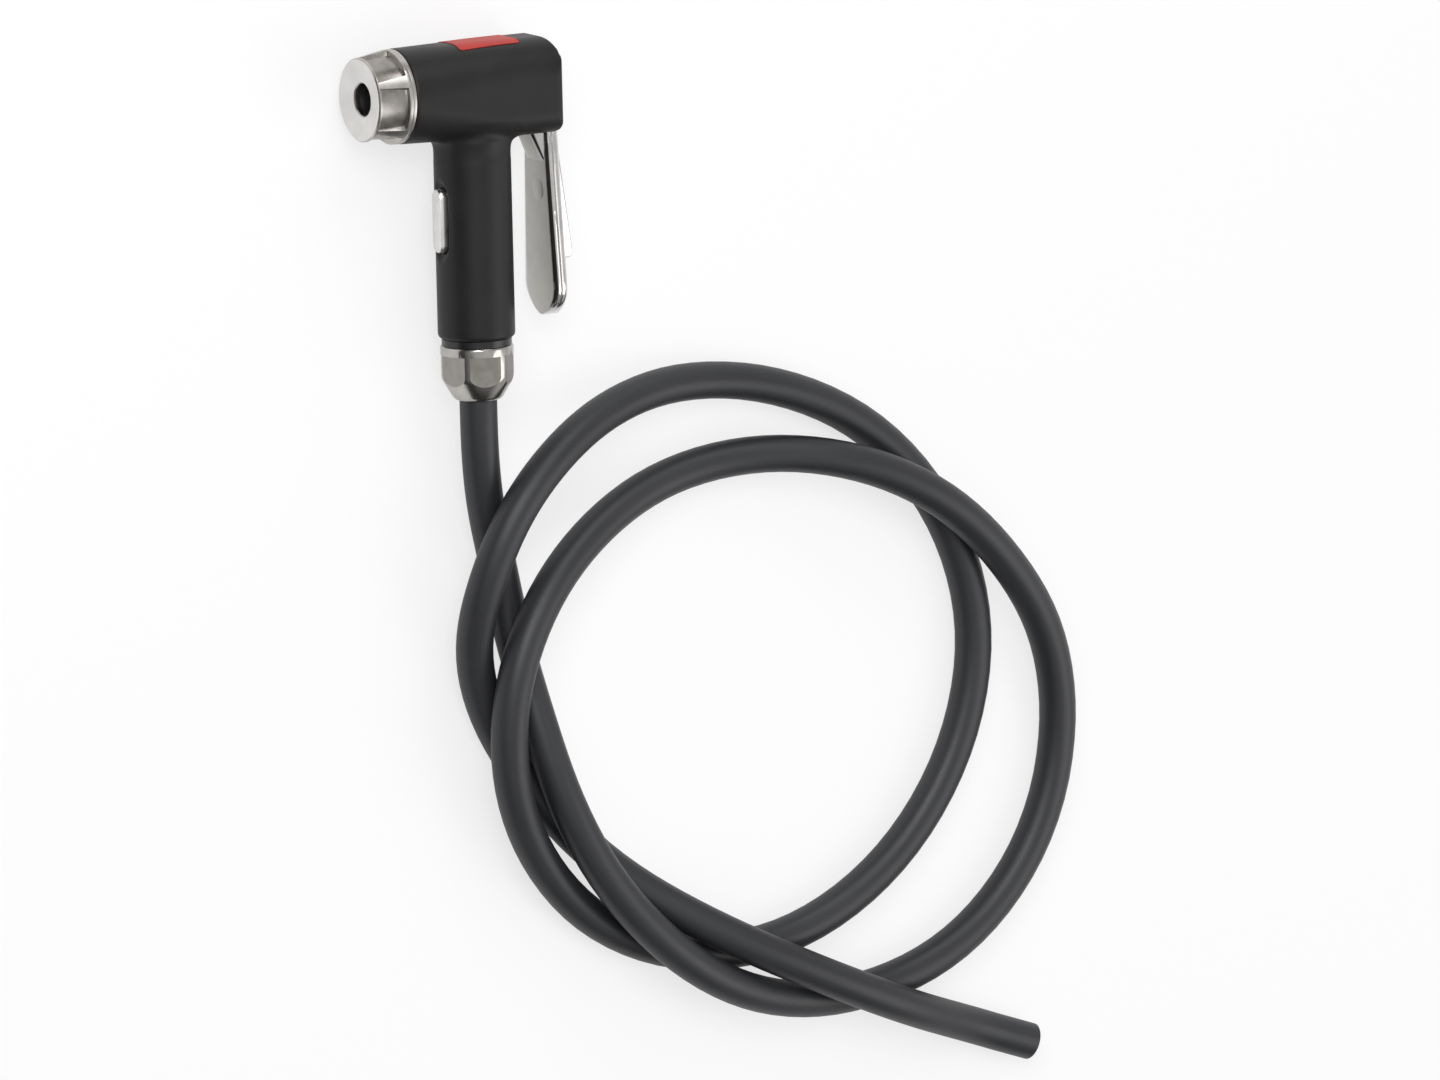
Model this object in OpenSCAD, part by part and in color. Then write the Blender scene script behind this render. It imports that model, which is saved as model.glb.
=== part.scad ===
// Lever-lock inflator head with its hose. Millimetres.
// X runs back along the barrel from the mouth of the valve port, the grip
// hangs toward -Y and +Z points up from the surface that the part lies on.

/* [Barrel] */
// Width and height of the barrel
barrel_d = 25.3; // [25:0.1:28]
// Length of the barrel behind the screw cap
barrel_len = 44.5; // [43.5:0.1:50]
// Rounding of the two upper long edges at the squared rear
barrel_top_edge_r = 9.5; // [6:0.5:11]
// Rounding of the two lower long edges at the squared rear
barrel_low_edge_r = 6; // [3:0.5:9]
// Length over which the round front blends into the squared rear
barrel_blend_len = 28; // [20:1:30]
// Distance that the tail falls back toward its top edge
tail_fall = 2.5; // [1:0.1:3]
// Height over which the tail falls back
tail_fall_h = 8; // [5:0.5:10]
// Rounding of the tail below the lever, seen from the side
tail_bottom_r = 1.6; // [1:0.1:4]
// Rounding of the two upright edges of the tail
tail_side_r = 2; // [1:0.1:4]
// Length of the spigot that the screw cap runs on
spigot_len = 6.9; // [5:0.1:7.5]
// Diameter of the spigot
spigot_d = 19.2; // [18.6:0.1:19.6]

/* [Grip] */
// Diameter of the grip
grip_d = 20.5; // [19.8:0.1:23]
// Distance of the grip axis behind the front of the screw cap
grip_x = 33.5; // [32:0.5:34.5]
// Distance of the lower end of the grip below the barrel axis
grip_drop = 66.2; // [62:0.2:80]
// Size of the bevel round the lower end of the grip
grip_bevel = 0.8; // [0.2:0.1:1]
// Width of the flare where the grip meets the barrel
flare_w = 1.6; // [0.5:0.1:3]
// Diameter of the air channel in the grip
channel_d = 5; // [4.8:0.1:6]
// Diameter of the port between the barrel and the air channel
port_d = 3; // [1.5:0.1:4]

/* [Screw cap] */
// Length of the screw cap
cap_len = 10.5; // [9.5:0.1:13]
// Diameter of the flat disc at the front of the cap
cap_disc_d = 22.2; // [21.2:0.1:23.5]
// Thickness of the front disc at its rim
cap_disc_t = 0.8; // [0.4:0.1:1.5]
// Diameter of the fluted surface between the ribs, at the front disc
cap_flute_d = 21; // [20.8:0.1:22]
// Rise of the fluted surface from the front disc to the rear flange
cap_flute_rise = 0.5; // [0:0.1:1]
// Step from the barrel down to the rear flange of the cap
cap_flange_step = 0.1; // [0:0.05:0.5]
// Width of the rear flange
cap_flange_w = 2; // [1:0.1:3]
// Number of grip ribs round the cap
cap_ribs = 5; // [3:1:9]
// Width of a rib at the front disc
rib_front_w = 1.7; // [1.2:0.1:4]
// Width of a rib at the rear flange
rib_rear_w = 3.5; // [2:0.1:6]
// Angle of the first rib from the upward axis
rib_turn = 26; // [0:1:71]
// Thickness of the front wall round the valve port
cap_wall = 2.6; // [1.5:0.1:3.5]
// Diameter of the valve port
valve_port_d = 8.7; // [7:0.1:9.5]

/* [Valve seal] */
// Bore of the chamber that holds the seal
chamber_d = 16.4; // [16:0.1:16.8]
// Length of the rubber seal
seal_len = 9; // [7:0.1:10]
// Bore of the rubber seal
seal_bore = 8; // [6:0.1:9]
// Thickness of the two seal washers
washer_t = 0.9; // [0.5:0.1:1.2]
// Thickness of the spring seat behind the seal
seat_t = 1.2; // [0.8:0.1:2]

/* [Plunger] */
// Bore that the plunger slides in
plunger_bore = 15.6; // [15:0.1:15.8]
// Length of the plunger body
plunger_len = 18.75; // [18:0.25:20]
// Diameter of the plunger nose
nose_d = 12; // [11:0.1:12.4]
// Wire of the return spring
return_wire = 1.1; // [0.8:0.05:1.2]
// Length of the return spring with the lever open
return_spring_len = 7.55; // [6.5:0.05:10]
// Number of coils in the return spring
return_coils = 3; // [2:1:4]
// Wire of the two plunger O-rings
ring_wire = 1.8; // [1.4:0.1:2]
// Thickness of the pad that the cam pushes on
pad_t = 1; // [0.8:0.1:2]
// Diameter of the pad
pad_d = 11; // [9:0.5:11.2]
// Diameter of the pin that opens the tyre valve
depressor_d = 1.8; // [1.2:0.1:2.4]

/* [Lever] */
// Height of the lever pin above the barrel axis
pivot_y = 2.5; // [1:0.1:3]
// Diameter of the lever pin
pin_d = 4; // [3:0.1:5]
// Radius of the cam with the lever open
cam_low_r = 6; // [5.5:0.1:6.5]
// Distance that the cam pushes the plunger
cam_lift = 2.6; // [2:0.1:2.6]
// Width of the cam hub
hub_w = 12; // [11:0.1:13]
// Thickness of the neck web
neck_w = 9.7; // [8:0.1:10.5]
// Distance from the pin axis to the free end of the lever
lever_len = 64.5; // [58:0.5:76]
// Thickness of the blade at its middle
blade_t = 5.1; // [4:0.1:5.4]
// Distance that the free end of the blade leans out
blade_lean = 0.8; // [0:0.1:3]
// Widening of the blade over the hub where it leaves the barrel
blade_step = 0.8; // [0:0.1:2]
// Widening of the blade over the hub at its middle
blade_mid = 2.4; // [1:0.1:4]
// Width of the blade near its free end
blade_end_w = 17.7; // [13:0.1:20]
// Radius of the crown across the back of the blade
blade_crown_r = 24; // [18:1:60]
// Width of the spine on the back of the blade
spine_w = 5.2; // [3:0.1:7]
// Height of the spine at its end
spine_h = 4.2; // [1:0.1:5]

/* [Release button] */
// Distance of the button centre below the barrel axis
button_y = 34.3; // [31:0.1:38]
// Length of the oblong button
button_l = 17; // [13:0.1:19]
// Width of the button
button_w = 4.7; // [4.5:0.1:5.6]
// Distance that the button stands out of the grip
button_proud = 1.05; // [0.9:0.05:1.6]
// Distance that the button travels
button_travel = 1.5; // [0.8:0.1:1.5]
// Diameter of the button stem
stem_d = 1.6; // [1:0.1:1.8]
// Wire of the button spring
button_wire = 0.44; // [0.3:0.02:0.5]
// Number of coils in the button spring
button_coils = 4; // [3:1:6]
// Depth of the scooped recess below the front of the grip
recess_depth = 0.95; // [0.5:0.05:1.2]

/* [Hose end] */
// Diameter of the stud that enters the grip
stud_d = 10; // [9:0.1:11]
// Length of the stud
stud_len = 15.2; // [12:0.1:18]
// Thickness of the collar between grip and nut
collar_t = 1.75; // [1:0.05:3]
// Diameter of the collar
collar_d = 18.6; // [17:0.1:19]
// Length of the hose nut
nut_len = 14.55; // [14:0.05:18]
// Diameter of the hose nut over its rounded corners
nut_d = 19.4; // [19:0.1:20.2]
// Width of the nut across its six flats
nut_flats = 17.5; // [17:0.1:18]
// Length of the tapered mouth of the nut
nut_taper = 5.8; // [4:0.1:6.5]
// Diameter of the mouth end of the nut
nut_mouth_d = 13; // [12:0.1:15]
// Length of the barb inside the hose
barb_len = 11.9; // [8:0.1:13.5]
// Length of the ferrule round the hose
ferrule_len = 4.45; // [3:0.05:5]

/* [Hose] */
// Outer diameter of the hose
hose_d = 10; // [9:0.1:10.2]
// Bore of the hose
hose_bore = 5; // [4.9:0.1:5.4]
// Direction of the cut end of the hose in plan
tail_angle = -20; // [-30:1:0]

/* [Label] */
// Length of the label on top of the barrel
label_l = 18.2; // [10:0.1:20]
// Width of the label
label_w = 14; // [6:0.5:15]
// Thickness of the label
label_t = 0.2; // [0.15:0.05:0.4]

/* [Clearances] */
// Radial clearance of a sliding or turning fit
running = 0.05; // [0.03:0.01:0.08]
// Gap between faces that stay or come to rest against each other
face_gap = 0.05; // [0.03:0.01:0.08]
// Gap on each side of the lever in its slot
side_gap = 0.2; // [0.1:0.05:0.3]

/* [Hidden] */
$fn = 96;
HULL_FN = 32;  // Facets of a round shape inside a hull
EPS = 0.01;    // Overlap of joined solids
FAR = 60;      // Reach of a cut that leaves the part

// The stack along the barrel, from the front of the cap
front_washer_x = cap_wall + face_gap;
seal_x = front_washer_x + washer_t + face_gap;
seal_washer_x = seal_x + seal_len + face_gap;
nose_x = seal_washer_x + washer_t + face_gap;
seat_x = nose_x + 0.6;
step_x = seat_x + seat_t;
return_spring_x = step_x + face_gap;
body_x = return_spring_x + return_spring_len + face_gap;
body_end = body_x + plunger_len;
pad_x = body_end + face_gap;
cam_gap = 0.15;
pivot_x = pad_x + pad_t + cam_gap + cam_low_r;
bore_end = body_end + 0.7;

// The barrel
barrel_r = barrel_d / 2;
barrel_x = cap_len + face_gap;
cap_flange_d = barrel_d - 2 * cap_flange_step;
barrel_end = barrel_x + barrel_len;
spigot_x = barrel_x - spigot_len;
blend_end = barrel_x + barrel_blend_len;

// The plunger
body_d = plunger_bore - 2 * running;
waist_d = 11.2;
waist_l = 8.3;
nose_pocket_d = 8.8;
nose_pocket_l = 6.4;
air_bore = 3.6;
cross_bore = 2.5;
ring_land = 1.2;
ring_slack = 0.05;
rear_groove_x = body_end - ring_land - ring_wire;
return_coil_d = (nose_d + plunger_bore) / 2 + 0.1;
pin_plug_l = 3;

// The lever: the cam lifts the pad evenly with the angle turned
cam_high_r = cam_low_r + cam_lift;
cam_rate = cam_lift / (PI / 2);
cam_reach = norm([cam_high_r, cam_rate]);
slot_r = cam_reach + 0.2;
slot_w = hub_w + 2 * side_gap;
lever_bore = pin_d + 2 * running;
pin_cover = 4.05;
blade_out = cam_high_r;
blade_in = blade_out - blade_t;
knee_y = 23.5;
tip_l = 7.5;
blade_widths = [[0, hub_w], [16, hub_w], [19, hub_w + blade_step], [31.5, hub_w + blade_mid],
                [lever_len - tip_l, blade_end_w]];
spine_top = 14.5;
spine_end = 48.2;

// The release button
grip_r = grip_d / 2;
grip_front = grip_x - grip_r;
recess_x = grip_front + recess_depth;
button_x = grip_front - button_proud;
button_t = 4;
pocket_gap = 0.2;
pocket_x = button_x + button_t + button_travel + 0.5;
seat_plug_d = 6;
seat_plug_t = 3;
seat_plug_x = pocket_x;
seat_plug_end = seat_plug_x + seat_plug_t;
seal_ring_wire = 1.2;
seal_ring_d = 2.9;
head_x = seat_plug_end + seal_ring_wire + 2 * face_gap;
head_d = 4.4;
head_t = 1.2;
stem_x = button_x + 1.4;
stem_pocket_x = button_x + 2.45;
stem_pocket_d = 3.5;
button_coil_d = 2.6;

// The hose end, measured down from the barrel axis
stud_top = grip_drop - stud_len;
channel_top = 14;
collar_y = grip_drop + face_gap;
nut_y = collar_y + collar_t + face_gap;
mouth_y = nut_y + nut_len;
skirt_d = 14.8;
skirt_end = nut_y + 5.95;
socket_y = collar_y + collar_t;
hose_y = nut_y + face_gap;
barb_d = hose_bore - 0.4;
barb_end = hose_y + barb_len;
fitting_bore = 3;
ferrule_y = skirt_end + face_gap;
ferrule_end = ferrule_y + ferrule_len;
socket_d = hose_d + 0.2;
stud_ring_wire = 1.4;
stud_groove_y = stud_top + 2;

// The hose: points of its centre as [distance from the grip axis, distance
// from the nut mouth, height above the surface that the part lies on]
HOSE_ROUTE = [
    [1, -16, 11.2], [4, -30, 8], [8.5, -46, 5.6], [12.5, -66, 5.8], [16, -88, 11.6],
    [21.5, -110, 15.8], [35, -135, 16.6], [60, -159.5, 15.8], [88, -172.5, 10],
    [118, -175, 5.2], [148, -165.5, 5], [171, -143, 5], [181.5, -112, 5], [177, -84, 8.4],
    [161.5, -61, 13.6], [140, -41, 16.1], [116, -29, 14], [90, -24.5, 7.6], [62, -28, 5.2],
    [37, -38.5, 9.6], [17, -55, 15.2], [6, -77, 17], [5.2, -101, 15.4], [15.5, -125, 10],
    [37, -147, 5.4], [66, -158.5, 5], [98, -156.5, 5], [128, -140, 5], [149, -112, 5],
    [156, -80, 5], [147.5, -49, 5], [125, -22, 5], [95, -7, 5], [64, -3, 6],
    [40, -7.5, 10.8], [20.5, -17.5, 16.4], [7.5, -30.5, 18.2], [-0.5, -48, 16.2],
    [-2, -67, 10], [4, -86, 5.6], [18.5, -109, 5], [41, -132.5, 6], [66, -149.5, 13.2],
    [92, -163, 16.6], [117, -174.5, 16.6], [131, -180.3, 13.3], [144, -185.2, 8.3],
    [154, -188.9, 5.6]];
HOSE_TIP = [170.5, -195, 5];
HOSE_SIDES = 12;
HOSE_STEPS = 2;      // Rings in each stretch between two route points
HOSE_LEAD = 2;       // Straight stretch outside the nut mouth
hose_tail = hose_d;  // Straight stretch at the cut end
skin_bore = hose_bore - 0.1;

// ---- Helpers ----

// A cylinder that runs along the barrel from x0 to x1
module along(x0, x1, d, d_end = undef) {
    translate([x0, 0, 0]) rotate([0, 90, 0])
        cylinder(d1 = d, d2 = is_undef(d_end) ? d : d_end, h = x1 - x0);
}

// A cylinder round the grip axis, from y0 to y1 below the barrel axis
module down(y0, y1, d, d_end = undef) {
    translate([grip_x, -y0, 0]) rotate([90, 0, 0])
        cylinder(d1 = d, d2 = is_undef(d_end) ? d : d_end, h = y1 - y0);
}

// A cylinder along X at the height of the button
module through(x0, x1, d, d_end = undef) {
    translate([0, -button_y, 0]) along(x0, x1, d, d_end);
}

// An outline of [radius, height] points turned round the grip axis
module turned_down(points) {
    translate([grip_x, 0, 0]) rotate([90, 0, 0]) rotate_extrude() polygon(points);
}

module ring_along(x0, x1, d, bore) {
    difference() {
        along(x0, x1, d);
        along(x0 - EPS, x1 + EPS, bore);
    }
}

// A ring of round wire, centred on the barrel axis at x
module wire_ring_along(x, d, wire) {
    translate([x, 0, 0]) rotate([0, 90, 0])
        rotate_extrude() translate([d / 2, 0]) circle(d = wire, $fn = HULL_FN);
}

// A compression spring that climbs along +Z
module coil_spring(l, d, wire, coils) {
    steps = 10;
    sides = 8;
    rise = l - wire;
    // The wire lies flat for its first and last quarter turn
    function climb(t) = rise * (t - sin(360 * t) / (2 * PI) * 0.6);
    count = coils * steps;
    points = [for (i = [0 : count], k = [0 : sides - 1])
        let (a = 360 * i / steps, r = d / 2 + wire / 2 * cos(360 * k / sides))
        [r * cos(a), r * sin(a), wire / 2 + climb(i / count) + wire / 2 * sin(360 * k / sides)]];
    polyhedron(points, [for (f = tube_faces(count + 1, sides)) [f[2], f[1], f[0]]]);
}

// Faces of a closed tube of rings; the points of one ring follow each other
function tube_faces(rings, sides) = concat(
    [for (i = [0 : rings - 2], k = [0 : sides - 1], half = [0, 1])
        let (a = i * sides + k, b = i * sides + (k + 1) % sides)
        half == 0 ? [a, a + sides, b] : [b, a + sides, b + sides]],
    [for (k = [1 : sides - 2]) [0, k, k + 1]],
    [for (k = [1 : sides - 2]) let (last = (rings - 1) * sides) [last, last + k + 1, last + k]]);

// ---- Screw cap and valve seal ----

module cap_rib() {
    span = cap_len - cap_flange_w - cap_disc_t;
    translate([cap_disc_t, 0, 0]) linear_extrude(FAR / 3) polygon([
        [-EPS, -rib_front_w / 2], [span + EPS, -rib_rear_w / 2],
        [span + EPS, rib_rear_w / 2], [-EPS, rib_front_w / 2]]);
}

module front_cap() {
    flange_x = cap_len - cap_flange_w;
    color("gainsboro") difference() {
        union() {
            along(0, cap_disc_t, cap_disc_d - 0.3, cap_disc_d);
            along(cap_disc_t - EPS, flange_x + EPS, cap_flute_d, cap_flute_d + 2 * cap_flute_rise);
            along(flange_x, cap_len, cap_flange_d);
            intersection() {
                along(cap_disc_t - EPS, flange_x + EPS, cap_disc_d, cap_flange_d);
                for (i = [0 : cap_ribs - 1]) rotate([-rib_turn - 360 * i / cap_ribs, 0, 0]) cap_rib();
            }
        }
        along(-EPS, cap_wall + EPS, valve_port_d);
        along(cap_wall, cap_len + EPS, spigot_d + 2 * running);
    }
}

module front_washer() {
    color("darkgray")
        ring_along(front_washer_x, front_washer_x + washer_t, chamber_d - 4 * running, seal_bore + 2);
}

module valve_seal() {
    color("dimgray") ring_along(seal_x, seal_x + seal_len, chamber_d - 8 * running, seal_bore);
}

module seal_washer() {
    color("darkgray")
        ring_along(seal_washer_x, seal_washer_x + washer_t, chamber_d - 4 * running, seal_bore + 2);
}

module spring_seat() {
    color("silver") ring_along(seat_x, step_x, chamber_d, nose_d + 2 * running);
}

// ---- Plunger ----

module plunger_spring() {
    color("lightgray") translate([return_spring_x, 0, 0]) rotate([0, 90, 0])
        coil_spring(return_spring_len, return_coil_d, return_wire, return_coils);
}

module ring_groove(x) {
    difference() {
        along(x, x + ring_wire, body_d + 1);
        along(x - EPS, x + ring_wire + EPS, body_d - 2 * ring_wire);
    }
}

module plunger() {
    color("darkgoldenrod") difference() {
        union() {
            along(nose_x, body_x + EPS, nose_d);
            along(body_x, body_end, body_d);
        }
        along(nose_x - EPS, nose_x + nose_pocket_l, nose_pocket_d);
        along(nose_x, grip_x + cross_bore / 4, air_bore);
        difference() {
            along(grip_x - waist_l / 2, grip_x + waist_l / 2, body_d + 1);
            along(grip_x - waist_l, grip_x + waist_l, waist_d);
        }
        translate([grip_x, 0, -FAR / 2]) cylinder(d = cross_bore, h = FAR);
        for (x = [body_x + ring_land, rear_groove_x]) ring_groove(x);
    }
}

module plunger_o_rings() {
    wire = ring_wire - 2 * ring_slack;
    color("black") for (x = [body_x + ring_land, rear_groove_x])
        wire_ring_along(x + ring_wire / 2, body_d - ring_wire + 2 * ring_slack, wire);
}

module depressor_pin() {
    plug_d = air_bore - 0.04;
    plug_x = nose_x + nose_pocket_l + 1;
    color("gold") {
        along(nose_x + 2.9, plug_x + EPS, depressor_d);
        // Two flats let the air past the plug
        intersection() {
            along(plug_x, plug_x + pin_plug_l, plug_d);
            translate([plug_x, -depressor_d / 2 - 0.2, -plug_d])
                cube([pin_plug_l, depressor_d + 0.4, 2 * plug_d]);
        }
    }
}

module thrust_pad() {
    color("slategray") along(pad_x, pad_x + pad_t, pad_d);
}

// ---- Housing ----

// Square with rounded corners, as wide as the barrel. Its first axis runs toward +Y.
module squared_end(grow = 0) {
    up = barrel_r - barrel_top_edge_r;
    low = barrel_r - barrel_low_edge_r;
    reach = barrel_r + grow;
    translate([-low, -reach]) square([up + low, 2 * reach]);
    translate([0, -up]) square([reach, 2 * up]);
    translate([-reach, -low]) square([reach, 2 * low]);
    for (side = [-1, 1]) {
        translate([up, side * up]) circle(r = barrel_top_edge_r + grow);
        translate([-low, side * low]) circle(r = barrel_low_edge_r + grow);
    }
}

// The barrel from its round front to its squared tail
module barrel_shape(grow = 0) {
    intersection() {
        union() {
            hull() {
                along(barrel_x, barrel_x + 1, barrel_d + 2 * grow, $fn = 2 * HULL_FN);
                translate([blend_end - 1, 0, 0]) rotate([90, 0, 90]) linear_extrude(1)
                    squared_end(grow, $fn = HULL_FN);
            }
            translate([blend_end - EPS, 0, 0]) rotate([90, 0, 90])
                linear_extrude(barrel_end - blend_end + EPS) squared_end(grow);
        }
        translate([0, 0, -FAR]) linear_extrude(2 * FAR) tail_profile(grow);
        translate([0, FAR, 0]) rotate([90, 0, 0]) linear_extrude(2 * FAR) tail_plan(grow);
    }
}

// Side view of the barrel, whose tail falls back toward its top and is rounded at its foot
module tail_profile(grow) {
    back = barrel_end;
    reach = barrel_r + grow;
    fall = [for (a = [0 : 6 : 90])
        [back - tail_fall * (1 - cos(a)), reach - tail_fall_h * (1 - sin(a))]];
    polygon(concat([[0, reach], [0, -reach], [back - tail_bottom_r, -reach],
                    [back, tail_bottom_r - reach]], fall));
    translate([back - tail_bottom_r, tail_bottom_r - reach]) circle(r = tail_bottom_r);
}

// Top view of the barrel with the rounded upright edges of its tail
module tail_plan(grow) {
    reach = barrel_r + grow;
    edge = barrel_end - tail_side_r;
    translate([0, -reach]) square([edge, 2 * reach]);
    translate([0, tail_side_r - reach]) square([barrel_end, 2 * (reach - tail_side_r)]);
    for (side = [-1, 1]) translate([edge, side * (reach - tail_side_r)]) circle(r = tail_side_r);
}

// Grip with the flare at its root and the bevel at its end
module grip_shape() {
    flare_y = barrel_r + flare_w + 0.4;
    down(0, grip_drop - grip_bevel, grip_d);
    down(grip_drop - grip_bevel - EPS, grip_drop, grip_d, grip_d - 2 * grip_bevel);
    turned_down(concat([[0, flare_y - 2 * flare_w]],
        [for (a = [0 : 15 : 90])
            [grip_r + flare_w * (1 - sin(a)), flare_y - flare_w * cos(a)]],
        [[0, flare_y]]));
}

// Slot for the lever, measured from the pin axis, open behind and below
module lever_slot() {
    front = cam_low_r + 0.3;
    translate([pivot_x, pivot_y, -slot_w / 2]) linear_extrude(slot_w) {
        circle(r = slot_r);
        polygon([[0, slot_r], [0, 0], [-front, -5], [-1.6, -barrel_r - pivot_y - 1.4],
                 [FAR, -barrel_r - pivot_y - 1.4], [FAR, slot_r]]);
    }
}

// Cuts in the front of the grip for the button and its valve
module button_cuts() {
    straight = button_l - button_w;
    scoop_at = button_l / 2 - 1.1;
    scoop_w = 2 * sqrt(pow(grip_r, 2) - pow(grip_r - recess_depth, 2));
    pocket_w = button_w + 2 * pocket_gap;
    // Milled flat with a scoop at each end
    translate([recess_x - FAR, -button_y - scoop_at, -scoop_w / 2]) cube([FAR, 2 * scoop_at, scoop_w]);
    for (side = [-1, 1]) translate([0, side * scoop_at, 0])
        through(grip_front - 1, recess_x, scoop_w + 2, scoop_w / 2);
    // Oblong pocket
    translate([recess_x - 1, -button_y, 0]) rotate([90, 0, 90]) linear_extrude(pocket_x - recess_x + 1)
        oblong(straight, pocket_w);
    through(pocket_x - EPS, grip_x + channel_d / 2 + 1, seat_plug_d);
}

// Oblong with its long side along the grip
module oblong(straight, w) {
    square([straight, w], center = true);
    for (side = [-1, 1]) translate([side * straight / 2, 0]) circle(d = w);
}

module housing() {
    color([0.16, 0.16, 0.16]) difference() {
        union() {
            barrel_shape();
            along(spigot_x, barrel_x + EPS, spigot_d);
            grip_shape();
        }
        along(spigot_x - EPS, step_x, chamber_d);
        along(step_x - EPS, bore_end, plunger_bore);
        along(bore_end - EPS, pivot_x - 4, pad_d + 0.6);
        lever_slot();
        translate([pivot_x, pivot_y, -barrel_r - EPS])
            cylinder(d = pin_d, h = barrel_d - pin_cover + EPS);
        down(plunger_bore / 2 - 1, channel_top + 1, port_d);
        down(channel_top, stud_top, channel_d);
        down(stud_top - 0.5, grip_drop + EPS, stud_d);
        button_cuts();
    }
}

// ---- Lever ----

// The flank of the cam: its reach toward the pad grows evenly as it turns
function cam_point(a) =
    let (reach = cam_low_r + cam_rate * a * PI / 180, out = [-cos(a), sin(a)], along_face = [sin(a), cos(a)])
    reach * out + cam_rate * along_face;

module cam_hub() {
    translate([0, 0, -hub_w / 2]) linear_extrude(hub_w) {
        circle(r = cam_low_r);
        polygon(concat([[0, 0], [-cam_low_r, 0]], [for (a = [0 : 6 : 90]) cam_point(a)],
                       [for (a = [78 : -6 : 0]) cam_high_r * [cos(a), sin(a)]]));
    }
}

module neck_web() {
    translate([0, 0, -neck_w / 2]) linear_extrude(neck_w) polygon([
        [-cam_low_r + 0.6, -4.2], [blade_in + 0.1, -knee_y],
        [blade_out - 1, -knee_y], [blade_out - 1, 0], [0, 0]]);
}

// Outline of the blade seen along its thickness, with a rounded free end
module blade_outline() {
    half = [for (w = blade_widths) [w[1] / 2, -w[0]]];
    tip = [for (a = [10 : 10 : 80])
        [blade_end_w / 2 * pow(cos(a), 0.6), -(lever_len - tip_l) - tip_l * pow(sin(a), 0.6)]];
    polygon(concat(half, tip, [[0, -lever_len]],
        [for (i = [len(tip) - 1 : -1 : 0]) [-tip[i][0], tip[i][1]]],
        [for (i = [len(half) - 1 : -1 : 0]) [-half[i][0], half[i][1]]]));
}

module blade_side() {
    polygon([[blade_in, 0], [blade_in, -knee_y], [blade_in + blade_lean, -lever_len],
             [blade_out + blade_lean, -lever_len], [blade_out, -knee_y], [blade_out, 0]]);
}

module blade() {
    intersection() {
        translate([0, 0, -FAR / 2]) linear_extrude(FAR) blade_side();
        translate([-FAR / 2, 0, 0]) rotate([0, 90, 0]) linear_extrude(FAR) blade_outline();
        translate([blade_out + blade_lean - blade_crown_r, FAR, 0]) rotate([90, 0, 0])
            cylinder(r = blade_crown_r, h = 3 * FAR);
    }
}

module spine() {
    translate([0, 0, -spine_w / 2]) linear_extrude(spine_w) polygon([
        [blade_out - 1, -spine_top], [blade_out - 0.1, -spine_top],
        [blade_out + spine_h, -spine_end + 0.6], [blade_out + spine_h, -spine_end - 0.8],
        [blade_out + spine_h - 0.8, -spine_end - 1.6], [blade_out - 1, -spine_end - 1.6]]);
}

module lever() {
    color("silver") translate([pivot_x, pivot_y, 0]) difference() {
        union() {
            cam_hub();
            neck_web();
            blade();
            spine();
        }
        translate([0, 0, -hub_w]) cylinder(d = lever_bore, h = 2 * hub_w);
    }
}

module lever_pin() {
    color("gray") translate([pivot_x, pivot_y, -barrel_r + 1])
        cylinder(d = pin_d, h = barrel_d - pin_cover - 1 - face_gap);
}

// ---- Release button ----

module release_button() {
    straight = button_l - button_w;
    groove_x = button_x + 0.9;
    color("whitesmoke") difference() {
        translate([0, -button_y, 0]) rotate([90, 0, 90]) {
            translate([0, 0, button_x]) linear_extrude(0.9) oblong(straight, button_w);
            translate([0, 0, groove_x - EPS]) linear_extrude(0.3 + 2 * EPS) oblong(straight, button_w - 0.6);
            translate([0, 0, groove_x + 0.3]) linear_extrude(button_t - 1.2) oblong(straight, button_w);
        }
        through(stem_x, stem_pocket_x + EPS, stem_d);
        through(stem_pocket_x, button_x + button_t + EPS, stem_pocket_d);
    }
}

module release_spring() {
    color("lightgray") translate([stem_pocket_x + face_gap, -button_y, 0]) rotate([0, 90, 0])
        coil_spring(pocket_x - stem_pocket_x - 2 * face_gap, button_coil_d, button_wire, button_coils);
}

module release_stem() {
    color("silver") {
        through(stem_x, head_x + EPS, stem_d);
        through(head_x, head_x + head_t, head_d);
    }
}

module release_seal() {
    color("black") translate([0, -button_y, 0])
        wire_ring_along(head_x - face_gap - seal_ring_wire / 2, seal_ring_d, seal_ring_wire);
}

module release_seat() {
    color("darkgoldenrod") difference() {
        through(seat_plug_x, seat_plug_end, seat_plug_d);
        through(seat_plug_x - EPS, seat_plug_end + EPS, stem_d + 1.2);
    }
}

// ---- Hose end ----

module hose_fitting() {
    groove_d = stud_d - 2 * stud_ring_wire;
    color("silver") difference() {
        union() {
            down(stud_top, grip_drop, stud_d);
            down(grip_drop - EPS, collar_y + EPS, stud_d);
            down(collar_y, skirt_end, skirt_d);
            down(socket_y - EPS, barb_end - 0.6, barb_d);
            down(barb_end - 0.6 - EPS, barb_end, barb_d, barb_d - 0.6);
        }
        difference() {
            down(stud_groove_y, stud_groove_y + stud_ring_wire + 0.3, stud_d + 1);
            down(stud_groove_y - 1, stud_groove_y + 3, groove_d);
        }
        difference() {
            down(socket_y, skirt_end + EPS, socket_d);
            down(socket_y - 1, skirt_end + 1, barb_d);
        }
        down(stud_top - EPS, barb_end + EPS, fitting_bore);
    }
}

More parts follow.
